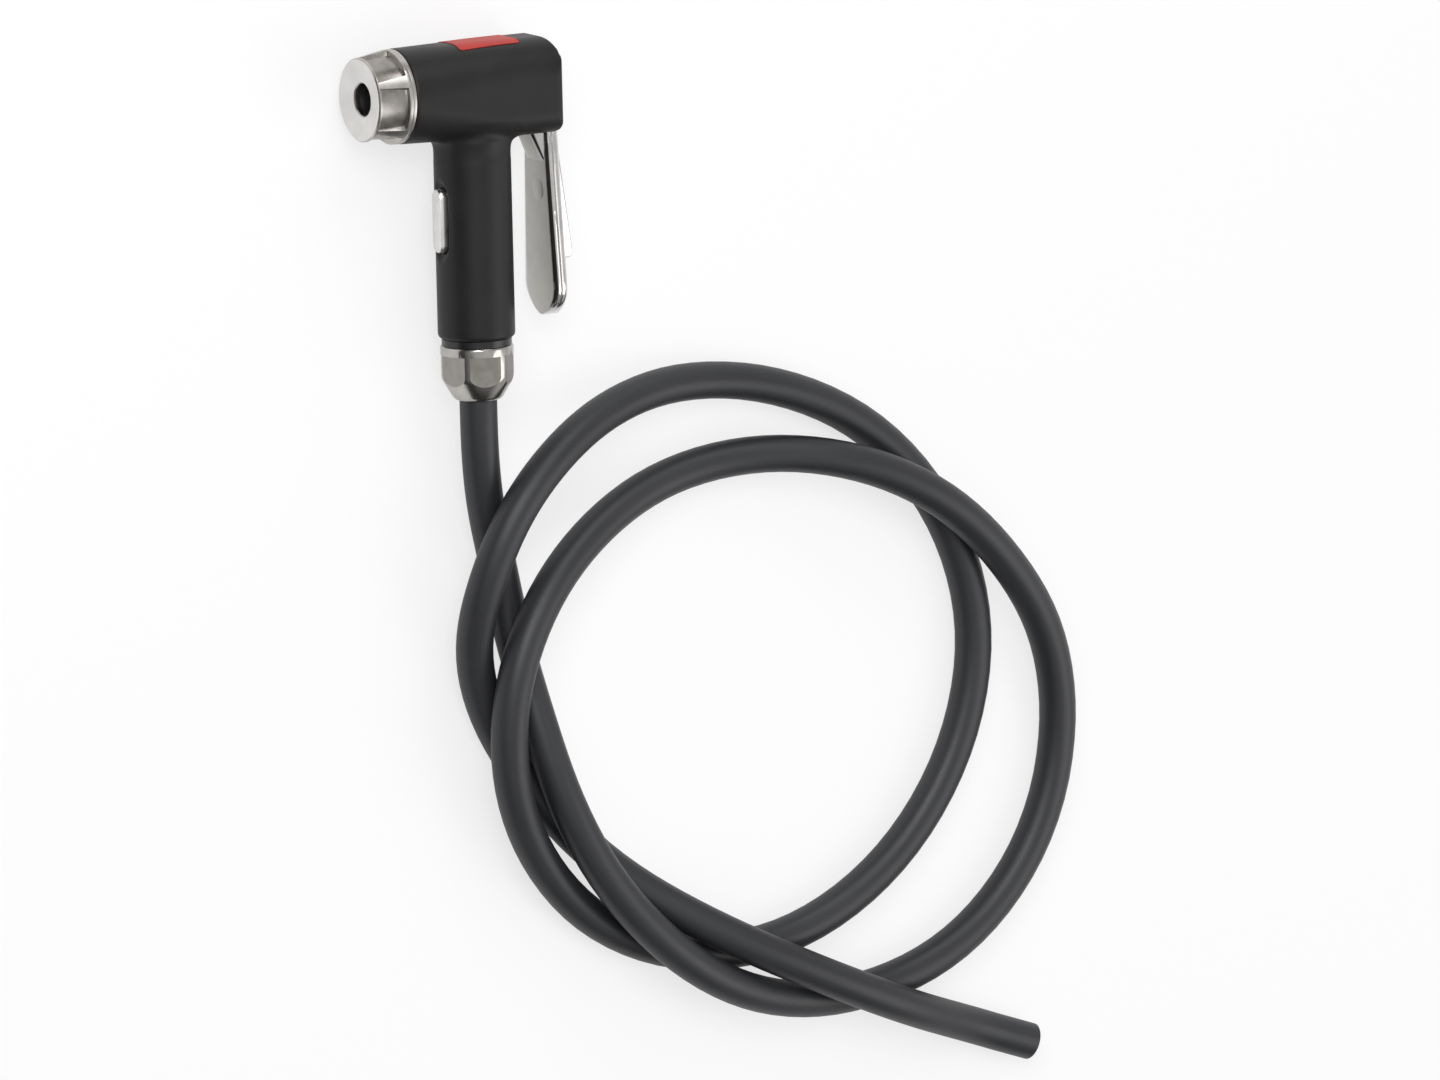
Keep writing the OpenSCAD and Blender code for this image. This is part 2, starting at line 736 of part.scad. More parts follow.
module fitting_o_ring() {
    wire = stud_ring_wire - 2 * ring_slack;
    color("black") translate([grip_x, -stud_groove_y - (stud_ring_wire + 0.3) / 2, 0]) rotate([90, 0, 0])
        rotate_extrude() translate([stud_d / 2 - stud_ring_wire / 2, 0]) circle(d = wire, $fn = HULL_FN);
}

module grip_collar() {
    color("dimgray") difference() {
        down(collar_y, collar_y + collar_t, collar_d);
        down(collar_y - EPS, collar_y + collar_t + EPS, skirt_d + 2 * running);
    }
}

module hose_nut() {
    band = 1.75;
    taper_y = mouth_y - nut_taper;
    throat_y = ferrule_y + 0.95;
    color("darkgray") difference() {
        intersection() {
            union() {
                down(nut_y, nut_y + 0.4, nut_d - 0.8, nut_d);
                down(nut_y + 0.4 - EPS, taper_y + EPS, nut_d);
                down(taper_y, mouth_y - 0.5, nut_d, nut_mouth_d);
                down(mouth_y - 0.5 - EPS, mouth_y, nut_mouth_d, nut_mouth_d - 1);
            }
            // Six flats below the band, which overhangs them a little
            union() {
                down(nut_y - 1, nut_y + band, nut_d + 2);
                down(nut_y + band - EPS, nut_y + band + 0.7, nut_flats, nut_d + 0.2);
                translate([grip_x, -nut_y, 0]) rotate([90, -14.8, 0])
                    rotate(90) cylinder(d = nut_flats / cos(30), h = nut_len + 1, $fn = 6);
            }
        }
        down(nut_y - EPS, throat_y, skirt_d + 2 * running);
        down(throat_y - EPS, throat_y + 4, skirt_d + 2 * running, hose_d + 0.7);
        down(throat_y, mouth_y + EPS, hose_d + 0.3);
    }
}

module hose_ferrule() {
    rest = skirt_d - 0.1;
    slope_y = ferrule_y + 0.95;
    color("tan") difference() {
        union() {
            down(ferrule_y, slope_y, rest);
            down(slope_y - EPS, ferrule_end, rest, hose_d + 0.8);
        }
        down(ferrule_y - EPS, ferrule_end + EPS, hose_d + 0.1);
    }
}

// ---- Label ----

module top_label() {
    // Centred just behind the grip axis, on the crest of the barrel
    label_x = grip_x + 2.4 - label_l / 2;
    color("firebrick") intersection() {
        difference() {
            barrel_shape(grow = label_t);
            barrel_shape();
        }
        translate([label_x, 0, -label_w / 2]) cube([label_l, barrel_d, label_w]);
    }
}

// ---- Hose ----

function unit(v) = v / norm(v);

// A route point in the frame of the part
function placed(p) = [grip_x + p[0], p[1] - mouth_y, p[2] - barrel_r];

// Slope of the route at point i, weighted toward the nearer neighbour
function slope(p, i) =
    let (back = p[i] - p[i - 1], ahead = p[i + 1] - p[i], lb = norm(back), la = norm(ahead))
    (unit(back) * la + unit(ahead) * lb) / (la + lb);

// A point at share t of the stretch from a to b, with the slopes at its ends
function eased(a, b, slope_a, slope_b, t) =
    let (l = norm(b - a), t2 = t * t, t3 = t2 * t)
    (2 * t3 - 3 * t2 + 1) * a + (t3 - 2 * t2 + t) * l * slope_a
    + (3 * t2 - 2 * t3) * b + (t3 - t2) * l * slope_b;

// No part of the hose goes below the surface that it lies on
function lifted(p) = [p[0], p[1], max(p[2], hose_d / 2 - barrel_r)];

// Direction in which the cut end of the hose points
function hose_out() = [cos(tail_angle), sin(tail_angle), 0];

// Centres of the rings from the fitting to the start of the straight cut end
function hose_rings() =
    let (knots = concat([[grip_x, -mouth_y - HOSE_LEAD, 0]], [for (p = HOSE_ROUTE) placed(p)],
                        [placed(HOSE_TIP) - hose_tail * hose_out()]),
         last = len(knots) - 1,
         slopes = [for (i = [0 : last])
            i == 0 ? [0, -1, 0] : i == last ? hose_out() : slope(knots, i)])
    concat([[grip_x, -hose_y, 0]],
        [for (i = [0 : last - 1], k = [0 : HOSE_STEPS - 1])
            lifted(eased(knots[i], knots[i + 1], slopes[i], slopes[i + 1], k / HOSE_STEPS))],
        [knots[last]]);

// Ring i of a skin of radius r round the centres c
function skin(c, i, r) =
    let (last = len(c) - 1,
         ahead = i == 0 ? [0, -1, 0] : i == last ? hose_out()
            : unit(unit(c[i + 1] - c[i]) + unit(c[i] - c[i - 1])),
         side = unit(cross([0, 0, 1], ahead)),
         up = cross(ahead, side))
    [for (k = [0 : HOSE_SIDES - 1])
        let (a = 360 * (k + 0.5) / HOSE_SIDES) c[i] + r * (cos(a) * side + sin(a) * up)];

// Least distance between stretches of the hose that cross or lie side by side
function least_gap(c) =
    let (parts = 5,
         fine = [for (i = [0 : len(c) - 2], k = [0 : parts - 1]) c[i] + (c[i + 1] - c[i]) * k / parts],
         apart = 4 * parts)
    min([for (i = [0 : len(fine) - apart - 1], j = [i + apart : len(fine) - 1])
        norm(fine[i] - fine[j])]) - hose_d;

module hose() {
    centres = hose_rings();
    rings = len(centres);
    count = rings * HOSE_SIDES;
    points = concat(
        [for (i = [0 : rings - 1], p = skin(centres, i, hose_d / 2)) p],
        [for (i = [0 : rings - 1], p = skin(centres, i, skin_bore / 2)) p]);
    walls = [for (i = [0 : rings - 2], k = [0 : HOSE_SIDES - 1], half = [0, 1])
        let (a = i * HOSE_SIDES + k, b = i * HOSE_SIDES + (k + 1) % HOSE_SIDES)
        half == 0 ? [a, a + HOSE_SIDES, b] : [b, a + HOSE_SIDES, b + HOSE_SIDES]];
    lips = [for (end = [0, rings - 1], k = [0 : HOSE_SIDES - 1], half = [0, 1])
        let (a = end * HOSE_SIDES + k, b = end * HOSE_SIDES + (k + 1) % HOSE_SIDES,
             face = half == 0 ? [a, b, a + count] : [b, b + count, a + count])
        end == 0 ? face : [face[2], face[1], face[0]]];
    inner = [for (f = walls) [f[2] + count, f[1] + count, f[0] + count]];
    echo(hose_gap_to_itself = least_gap(centres));
    color([0.13, 0.13, 0.14]) difference() {
        polyhedron(points, concat(walls, inner, lips));
        // True round bore over the barb
        down(hose_y - EPS, barb_end + 0.4, hose_bore);
    }
}

// Straight stretch of the hose up to its square cut
module hose_cut_end() {
    color([0.13, 0.13, 0.14]) translate(placed(HOSE_TIP)) rotate([0, 0, tail_angle])
        rotate([0, -90, 0]) difference() {
            cylinder(d = hose_d, h = hose_tail);
            translate([0, 0, -EPS]) cylinder(d = hose_bore, h = hose_tail + 2 * EPS);
        }
}

front_cap();
front_washer();
valve_seal();
seal_washer();
spring_seat();
plunger_spring();
plunger();
plunger_o_rings();
depressor_pin();
thrust_pad();
housing();
lever();
lever_pin();
release_button();
release_spring();
release_stem();
release_seal();
release_seat();
hose_fitting();
fitting_o_ring();
grip_collar();
hose_nut();
hose_ferrule();
top_label();
hose();
hose_cut_end();
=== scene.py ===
"""Lever-lock inflator head with its hose: detailed pieces, finishes, light and camera."""

import logging
import math
from dataclasses import dataclass
from enum import Enum
from typing import Callable, Sequence

import bmesh
import bpy
from mathutils import Matrix, Vector


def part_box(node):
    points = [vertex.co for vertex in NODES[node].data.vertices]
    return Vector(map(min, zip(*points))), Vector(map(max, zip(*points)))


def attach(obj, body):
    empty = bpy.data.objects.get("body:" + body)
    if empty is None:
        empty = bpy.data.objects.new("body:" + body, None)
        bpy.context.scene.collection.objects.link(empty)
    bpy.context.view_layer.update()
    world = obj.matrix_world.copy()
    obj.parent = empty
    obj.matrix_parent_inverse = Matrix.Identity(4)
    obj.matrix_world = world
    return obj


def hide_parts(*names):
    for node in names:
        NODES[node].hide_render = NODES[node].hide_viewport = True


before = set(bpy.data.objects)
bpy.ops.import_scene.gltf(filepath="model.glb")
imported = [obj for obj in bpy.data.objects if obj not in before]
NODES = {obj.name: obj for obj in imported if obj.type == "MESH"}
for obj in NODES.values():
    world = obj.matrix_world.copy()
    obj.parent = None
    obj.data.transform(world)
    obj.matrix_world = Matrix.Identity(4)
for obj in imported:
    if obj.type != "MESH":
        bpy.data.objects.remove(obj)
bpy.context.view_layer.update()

MM = 0.001
LOG = logging.getLogger("inflator_head")


# ---- Places that all sub-assemblies share, read from the frame ----

def low(node: str) -> Vector:
    """Returns the lowest corner of a CAD node, in millimetres."""
    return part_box(node)[0] / MM


def high(node: str) -> Vector:
    """Returns the highest corner of a CAD node, in millimetres."""
    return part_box(node)[1] / MM


GRIP_X = (low("grip_collar").x + high("grip_collar").x) / 2
TABLE_Z = low("housing").z
NUT_MOUTH_Y = low("hose_nut").y
HOSE_TOP_Y = high("hose").y
PIVOT = Vector(((low("lever_pin").x + high("lever_pin").x) / 2,
                (low("lever_pin").y + high("lever_pin").y) / 2, 0.0))


class TurnAxis(Enum):
    """Axis that a turned piece is spun round."""

    BARREL = "barrel"
    GRIP = "grip"


# ---- Workbench: small steps that every piece uses ----

def only(piece: bpy.types.Object) -> None:
    """Makes a piece the only one that is selected, and the active one."""
    bpy.ops.object.select_all(action="DESELECT")
    piece.select_set(True)
    bpy.context.view_layer.objects.active = piece


def new_piece(name: str, points: Sequence[Sequence[float]], edges: Sequence[Sequence[int]] = (),
              faces: Sequence[Sequence[int]] = ()) -> bpy.types.Object:
    """Starts a piece from points in millimetres.

    Args:
        name: Name of the piece.
        points: Its points, in millimetres.
        edges: Pairs of points joined by an edge.
        faces: Faces as lists of points.

    Returns:
        The new object, at the origin.
    """
    mesh = bpy.data.meshes.new(name)
    mesh.from_pydata([[c * MM for c in p] for p in points], edges, faces)
    piece = bpy.data.objects.new(name, mesh)
    bpy.context.scene.collection.objects.link(piece)
    return piece


def outline(name: str, points: Sequence[Sequence[float]]) -> bpy.types.Object:
    """Starts a piece as one flat face through the points, in millimetres."""
    return new_piece(name, points, faces=[list(range(len(points)))])


def select_where(piece: bpy.types.Object, test: Callable[[Vector, Vector], bool]) -> int:
    """Selects faces by their place and normal, in edit mode.

    Args:
        piece: The piece, which is left in edit mode.
        test: Takes a face's centre in millimetres and its normal.

    Returns:
        How many faces are selected.
    """
    only(piece)
    bpy.ops.object.mode_set(mode="EDIT")
    bpy.ops.mesh.select_mode(type="FACE")
    bpy.ops.mesh.select_all(action="DESELECT")
    shape = bmesh.from_edit_mesh(piece.data)
    count = 0
    for face in shape.faces:
        if test(face.calc_center_median() / MM, face.normal):
            face.select_set(True)
            count += 1
    bmesh.update_edit_mesh(piece.data)
    return count


def close_edit() -> None:
    """Leaves edit mode."""
    bpy.ops.object.mode_set(mode="OBJECT")


def clean(piece: bpy.types.Object) -> bpy.types.Object:
    """Merges doubled points and turns all faces outwards."""
    only(piece)
    bpy.ops.object.mode_set(mode="EDIT")
    bpy.ops.mesh.select_all(action="SELECT")
    bpy.ops.mesh.remove_doubles(threshold=0.002 * MM)
    bpy.ops.mesh.normals_make_consistent(inside=False)
    close_edit()
    return piece


def turned(name: str, profile: Sequence[Sequence[float]], axis: TurnAxis, steps: int = 96,
           closed: bool = False) -> bpy.types.Object:
    """Spins a profile into a turned piece.

    Args:
        name: Name of the piece.
        profile: Points as (distance along the axis, radius), in millimetres.
        axis: Axis that the profile is spun round; along the grip it runs down.
        steps: Faces round the piece.
        closed: Whether the last point joins the first, as on a ring.

    Returns:
        The piece, closed and with its faces outwards.
    """
    if axis is TurnAxis.BARREL:
        points = [(a, r, 0) for a, r in profile]
        centre, turn = (0, 0, 0), (1, 0, 0)
    else:
        points = [(GRIP_X + r, -a, 0) for a, r in profile]
        centre, turn = (GRIP_X * MM, 0, 0), (0, 1, 0)
    edges = [(i, i + 1) for i in range(len(points) - 1)]
    if closed:
        edges.append((len(points) - 1, 0))
    piece = new_piece(name, points, edges)
    only(piece)
    bpy.ops.object.mode_set(mode="EDIT")
    bpy.ops.mesh.select_all(action="SELECT")
    bpy.ops.mesh.spin(steps=steps, angle=2 * math.pi, center=centre, axis=turn)
    close_edit()
    return clean(piece)


def extruded(piece: bpy.types.Object, move: Sequence[float]) -> bpy.types.Object:
    """Pulls a flat outline into a solid by a move in millimetres."""
    only(piece)
    bpy.ops.object.mode_set(mode="EDIT")
    bpy.ops.mesh.select_all(action="SELECT")
    bpy.ops.mesh.extrude_region_move(
        TRANSFORM_OT_translate={"value": Vector(move) * MM})
    close_edit()
    return clean(piece)


def swept(name: str, ring: Sequence[Sequence[float]], stations: Sequence[Sequence[float]],
          pivot: Sequence[float]) -> bpy.types.Object:
    """Pulls a ring down through stations, each moved and scaled from the last.

    Args:
        name: Name of the piece.
        ring: Points of the first ring, in millimetres.
        stations: For each step (move x, move y, scale x, scale z).
        pivot: Centre of the scaling at the first ring, in millimetres.

    Returns:
        The closed piece.
    """
    count = len(ring)
    piece = new_piece(name, ring, [(i, (i + 1) % count) for i in range(count)])
    only(piece)
    bpy.ops.object.mode_set(mode="EDIT")
    bpy.ops.mesh.select_mode(type="EDGE")
    bpy.ops.mesh.select_all(action="SELECT")
    centre = Vector(pivot)
    for dx, dy, sx, sz in stations:
        bpy.ops.mesh.extrude_edges_move(TRANSFORM_OT_translate={"value": Vector((dx, dy, 0)) * MM})
        centre = centre + Vector((dx, dy, 0))
        bpy.ops.transform.resize(value=(sx, 1, sz), center_override=centre * MM)
    bpy.ops.mesh.select_all(action="DESELECT")
    bpy.ops.mesh.select_non_manifold(extend=False)
    bpy.ops.mesh.fill_holes(sides=0)
    close_edit()
    return clean(piece)


def combine(piece: bpy.types.Object, tool: bpy.types.Object, how: str = "DIFFERENCE") -> None:
    """Cuts, joins or intersects a piece with a tool, which is used up."""
    only(piece)
    modifier = piece.modifiers.new("combine", "BOOLEAN")
    modifier.operation = how
    modifier.solver = "EXACT"
    modifier.object = tool
    bpy.ops.object.modifier_apply(modifier=modifier.name)
    bpy.data.objects.remove(tool)


def bevelled(piece: bpy.types.Object, width: float, segments: int = 3, angle: float = 30.0) -> None:
    """Rounds the edges of a piece that are sharper than an angle."""
    only(piece)
    modifier = piece.modifiers.new("edges", "BEVEL")
    modifier.width = width * MM
    modifier.segments = segments
    modifier.limit_method = "ANGLE"
    modifier.angle_limit = math.radians(angle)
    modifier.miter_outer = "MITER_ARC"
    modifier.harden_normals = False
    bpy.ops.object.modifier_apply(modifier=modifier.name)


def smooth(piece: bpy.types.Object, angle: float = 30.0) -> None:
    """Shades a piece smooth, apart from edges sharper than an angle."""
    only(piece)
    bpy.ops.object.shade_smooth_by_angle(angle=math.radians(angle))


def joined(name: str, parts: Sequence[bpy.types.Object]) -> bpy.types.Object:
    """Joins parts into one piece with a name."""
    only(parts[0])
    for part in parts:
        part.select_set(True)
    bpy.ops.object.join()
    parts[0].name = name
    parts[0].data.name = name
    return parts[0]


def dressed(piece: bpy.types.Object, *finishes: "Finish") -> bpy.types.Object:
    """Gives a piece its finishes, in the order of its material slots."""
    piece.data.materials.clear()
    for finish in finishes:
        piece.data.materials.append(finish.material())
    return piece


def paint_where(piece: bpy.types.Object, slot: int, test: Callable[[Vector, Vector], bool]) -> None:
    """Gives the faces that pass a test on centre and normal another slot."""
    for face in piece.data.polygons:
        if test(face.center / MM, face.normal):
            face.material_index = slot


def handed_over(piece: bpy.types.Object, body: str, slot: str, *replaced: str) -> None:
    """Makes a finished piece ride on its body in the place of CAD nodes.

    Args:
        piece: The finished piece.
        body: Body that it rides on.
        slot: Not used.
        replaced: CAD nodes that it stands for.
    """
    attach(piece, body)
    if replaced:
        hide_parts(*replaced)
    LOG.info("made %s on %s", piece.name, body)


# ---- Finishes ----

def linear(colour: str) -> tuple[float, float, float, float]:
    """Turns an sRGB hex value into the linear colour that a shader takes."""
    parts = [int(colour[i:i + 2], 16) / 255 for i in (1, 3, 5)]
    return (*[c / 12.92 if c <= 0.04045 else ((c + 0.055) / 1.055) ** 2.4 for c in parts], 1.0)


def add_node(tree: bpy.types.NodeTree, kind: str, values: dict | None = None,
             links: dict | None = None, **settings: object) -> bpy.types.Node:
    """Adds a node with its settings, input values and links.

    Args:
        tree: Node tree that it goes into.
        kind: Blender's name of the node type.
        values: Input values, by socket name or number.
        links: Output sockets that feed its inputs, by socket name or number.
        settings: Properties of the node.

    Returns:
        The new node.
    """
    node = tree.nodes.new(kind)
    for key, value in settings.items():
        setattr(node, key, value)
    for key, value in (values or {}).items():
        node.inputs[key].default_value = value
    for key, source in (links or {}).items():
        tree.links.new(source, node.inputs[key])
    return node


def ramp_stops(node: bpy.types.Node, stops: Sequence[tuple[float, str]]) -> None:
    """Sets the colours of a ramp from places and sRGB hex values."""
    ramp = node.color_ramp
    while len(ramp.elements) < len(stops):
        ramp.elements.new(1.0)
    for element, (place, colour) in zip(ramp.elements, stops):
        element.position = place
        element.color = linear(colour)


@dataclass(frozen=True)
class Finish:
    """A surface with a fine grain and slow drifts of colour and gloss."""

    name: str
    dark: str
    light: str
    metallic: float
    rough_low: float
    rough_high: float
    grain_mm: float
    grain_height_mm: float
    drift_mm: float
    stretch: tuple[float, float, float] = (1.0, 1.0, 1.0)
    coat: float = 0.0
    coat_roughness: float = 0.1
    specular: float = 0.5
    use_uv: bool = False

    def material(self) -> bpy.types.Material:
        """Returns the material, made once and then shared."""
        made = bpy.data.materials.get(self.name)
        if made is None:
            made = bpy.data.materials.new(self.name)
            made.use_nodes = True
            self.wire(made.node_tree)
        return made

    def wire(self, tree: bpy.types.NodeTree) -> None:
        """Wires the finish into a material's tree."""
        tree.nodes.clear()
        where = add_node(tree, "ShaderNodeTexCoord")
        place = where.outputs["UV" if self.use_uv else "Object"]
        turned_place = add_node(tree, "ShaderNodeMapping", {"Scale": self.stretch}, {"Vector": place})
        vector = turned_place.outputs["Vector"]
        drift = add_node(tree, "ShaderNodeTexNoise",
                         {"Scale": 1 / (self.drift_mm * MM), "Detail": 3.0, "Roughness": 0.55},
                         {"Vector": vector})
        grain = add_node(tree, "ShaderNodeTexNoise",
                         {"Scale": 1 / (self.grain_mm * MM), "Detail": 2.0, "Roughness": 0.6},
                         {"Vector": vector})
        colour = add_node(tree, "ShaderNodeValToRGB", links={"Fac": drift.outputs["Fac"]})
        ramp_stops(colour, [(0.3, self.dark), (0.7, self.light)])
        rough = add_node(tree, "ShaderNodeMapRange",
                         {"From Min": 0.3, "From Max": 0.7, "To Min": self.rough_low,
                          "To Max": self.rough_high},
                         {"Value": self.rough_source(tree, drift, grain)})
        bump = add_node(tree, "ShaderNodeBump",
                        {"Strength": 1.0, "Distance": self.grain_height_mm * MM},
                        {"Height": self.height_source(tree, grain, place)})
        shader = add_node(tree, "ShaderNodeBsdfPrincipled",
                          {"Metallic": self.metallic, "Coat Weight": self.coat,
                           "Coat Roughness": self.coat_roughness,
                           "Specular IOR Level": self.specular},
                          {"Base Color": colour.outputs["Color"], "Roughness": rough.outputs["Result"],
                           "Normal": bump.outputs["Normal"]})
        add_node(tree, "ShaderNodeOutputMaterial", links={"Surface": shader.outputs["BSDF"]})

    def rough_source(self, tree: bpy.types.NodeTree, drift: bpy.types.Node,
                     grain: bpy.types.Node) -> bpy.types.NodeSocket:
        """Returns the socket that drives the gloss."""
        return add_node(tree, "ShaderNodeMix", {0: 0.4},
                        {2: drift.outputs["Fac"], 3: grain.outputs["Fac"]},
                        data_type="FLOAT").outputs[0]

    def height_source(self, tree: bpy.types.NodeTree, grain: bpy.types.Node,
                      place: bpy.types.NodeSocket) -> bpy.types.NodeSocket:
        """Returns the socket that drives the surface height."""
        return grain.outputs["Fac"]


# Powder coat on a casting, sprayed and baked: a soft, even satin with an orange-peel grain
SATIN_BLACK = Finish("satin_black_powder_coat", "#171616", "#1e1c1c", 0.0, 0.42, 0.50,
                     0.6, 0.004, 9.0, specular=0.32)
# Nickel plate on a tumbled casting: pale warm grey with soft reflections
CAP_NICKEL = Finish("tumbled_nickel_plate", "#aeaaa6", "#c8c5c1", 1.0, 0.26, 0.36,
                    0.35, 0.003, 5.0)
# The same plate in the hollows between the ribs, made darker as painted shade of the hollows
CAP_FLUTE_PAINTED_SHADE = Finish("nickel_plate_painted_shade_in_hollows", "#8d8985", "#aaa6a1", 1.0, 0.24, 0.34,
                   0.35, 0.003, 4.0)
# The faced front disc, turned and lightly blasted: brighter and duller than the flutes
CAP_DISC = Finish("faced_nickel_disc", "#dcdad8", "#e8e6e4", 1.0, 0.42, 0.52,
                  0.25, 0.003, 6.0)
# Nickel plate on turned brass, polished by the tool: clear reflections
NUT_GLOSS = Finish("turned_nickel_plate", "#a9a6a2", "#bdbab6", 1.0, 0.14, 0.22,
                   0.3, 0.002, 4.0)
# Milled flats under the same plate: duller and a little darker
NUT_FLAT = Finish("milled_nickel_flat", "#94918b", "#a3a09a", 1.0, 0.36, 0.46,
                  0.22, 0.004, 3.0)
# Zinc die casting polished on a wheel: almost a mirror
LEVER_POLISH = Finish("wheel_polished_casting", "#c8c6c5", "#d8d6d4", 1.0, 0.10, 0.18,
                      1.2, 0.003, 8.0)
# The inner face as it left the die: pale and matt
LEVER_MATT = Finish("as_cast_zinc", "#cfccc7", "#dcdad6", 1.0, 0.38, 0.48,
                    0.3, 0.006, 6.0)
# Aluminium button, blasted and anodised: very pale satin
BUTTON_SATIN = Finish("anodised_aluminium_button", "#dedcda", "#eceae8", 1.0, 0.26, 0.34,
                      0.2, 0.002, 4.0)
# Extruded rubber: fine streaks along the hose, from its own map
HOSE_RUBBER = Finish("extruded_rubber_hose", "#232427", "#2e2f33", 0.0, 0.40, 0.52,
                     1.5, 0.01, 20.0, stretch=(6.0, 0.35, 1.0), specular=0.5, use_uv=True)
# Moulded nitrile rubber: matt black
SEAL_RUBBER = Finish("moulded_nitrile_rubber", "#191919", "#232323", 0.0, 0.55, 0.68,
                     0.25, 0.004, 5.0)
# Acetal collar: smooth black moulding
COLLAR_PLASTIC = Finish("moulded_acetal", "#161616", "#1e1e1e", 0.0, 0.22, 0.3,
                        0.4, 0.002, 6.0)
# Drawn spring wire: bright with fine marks along the wire
SPRING_WIRE = Finish("drawn_spring_wire", "#9c9c9c", "#b4b4b4", 1.0, 0.22, 0.32,
                     0.15, 0.002, 3.0)
# Turned brass of the inner valve pieces
TURNED_BRASS = Finish("turned_brass", "#b48f47", "#c9a55c", 1.0, 0.22, 0.34,
                      0.2, 0.003, 4.0, stretch=(8.0, 1.0, 1.0))
# Ground steel of pin, washers and seat
GROUND_STEEL = Finish("ground_steel", "#8f8f90", "#a6a6a7", 1.0, 0.25, 0.36,
                      0.2, 0.002, 4.0, stretch=(1.0, 1.0, 6.0))
# Natural nylon of the ferrule
FERRULE_NYLON = Finish("moulded_nylon", "#c9bd9f", "#d8cdb1", 0.0, 0.42, 0.52,
                       0.3, 0.003, 5.0)
# Grey acetal of the cam pad
PAD_ACETAL = Finish("turned_acetal", "#6f747b", "#7d828a", 0.0, 0.35, 0.45,
                    0.2, 0.002, 4.0)
# Printed foil: even red under a thin clear film
LABEL_FOIL = Finish("printed_red_foil", "#b02a20", "#ba3329", 0.0, 0.45, 0.52,
                    0.5, 0.001, 8.0, specular=0.3)


# ---- Studio ----

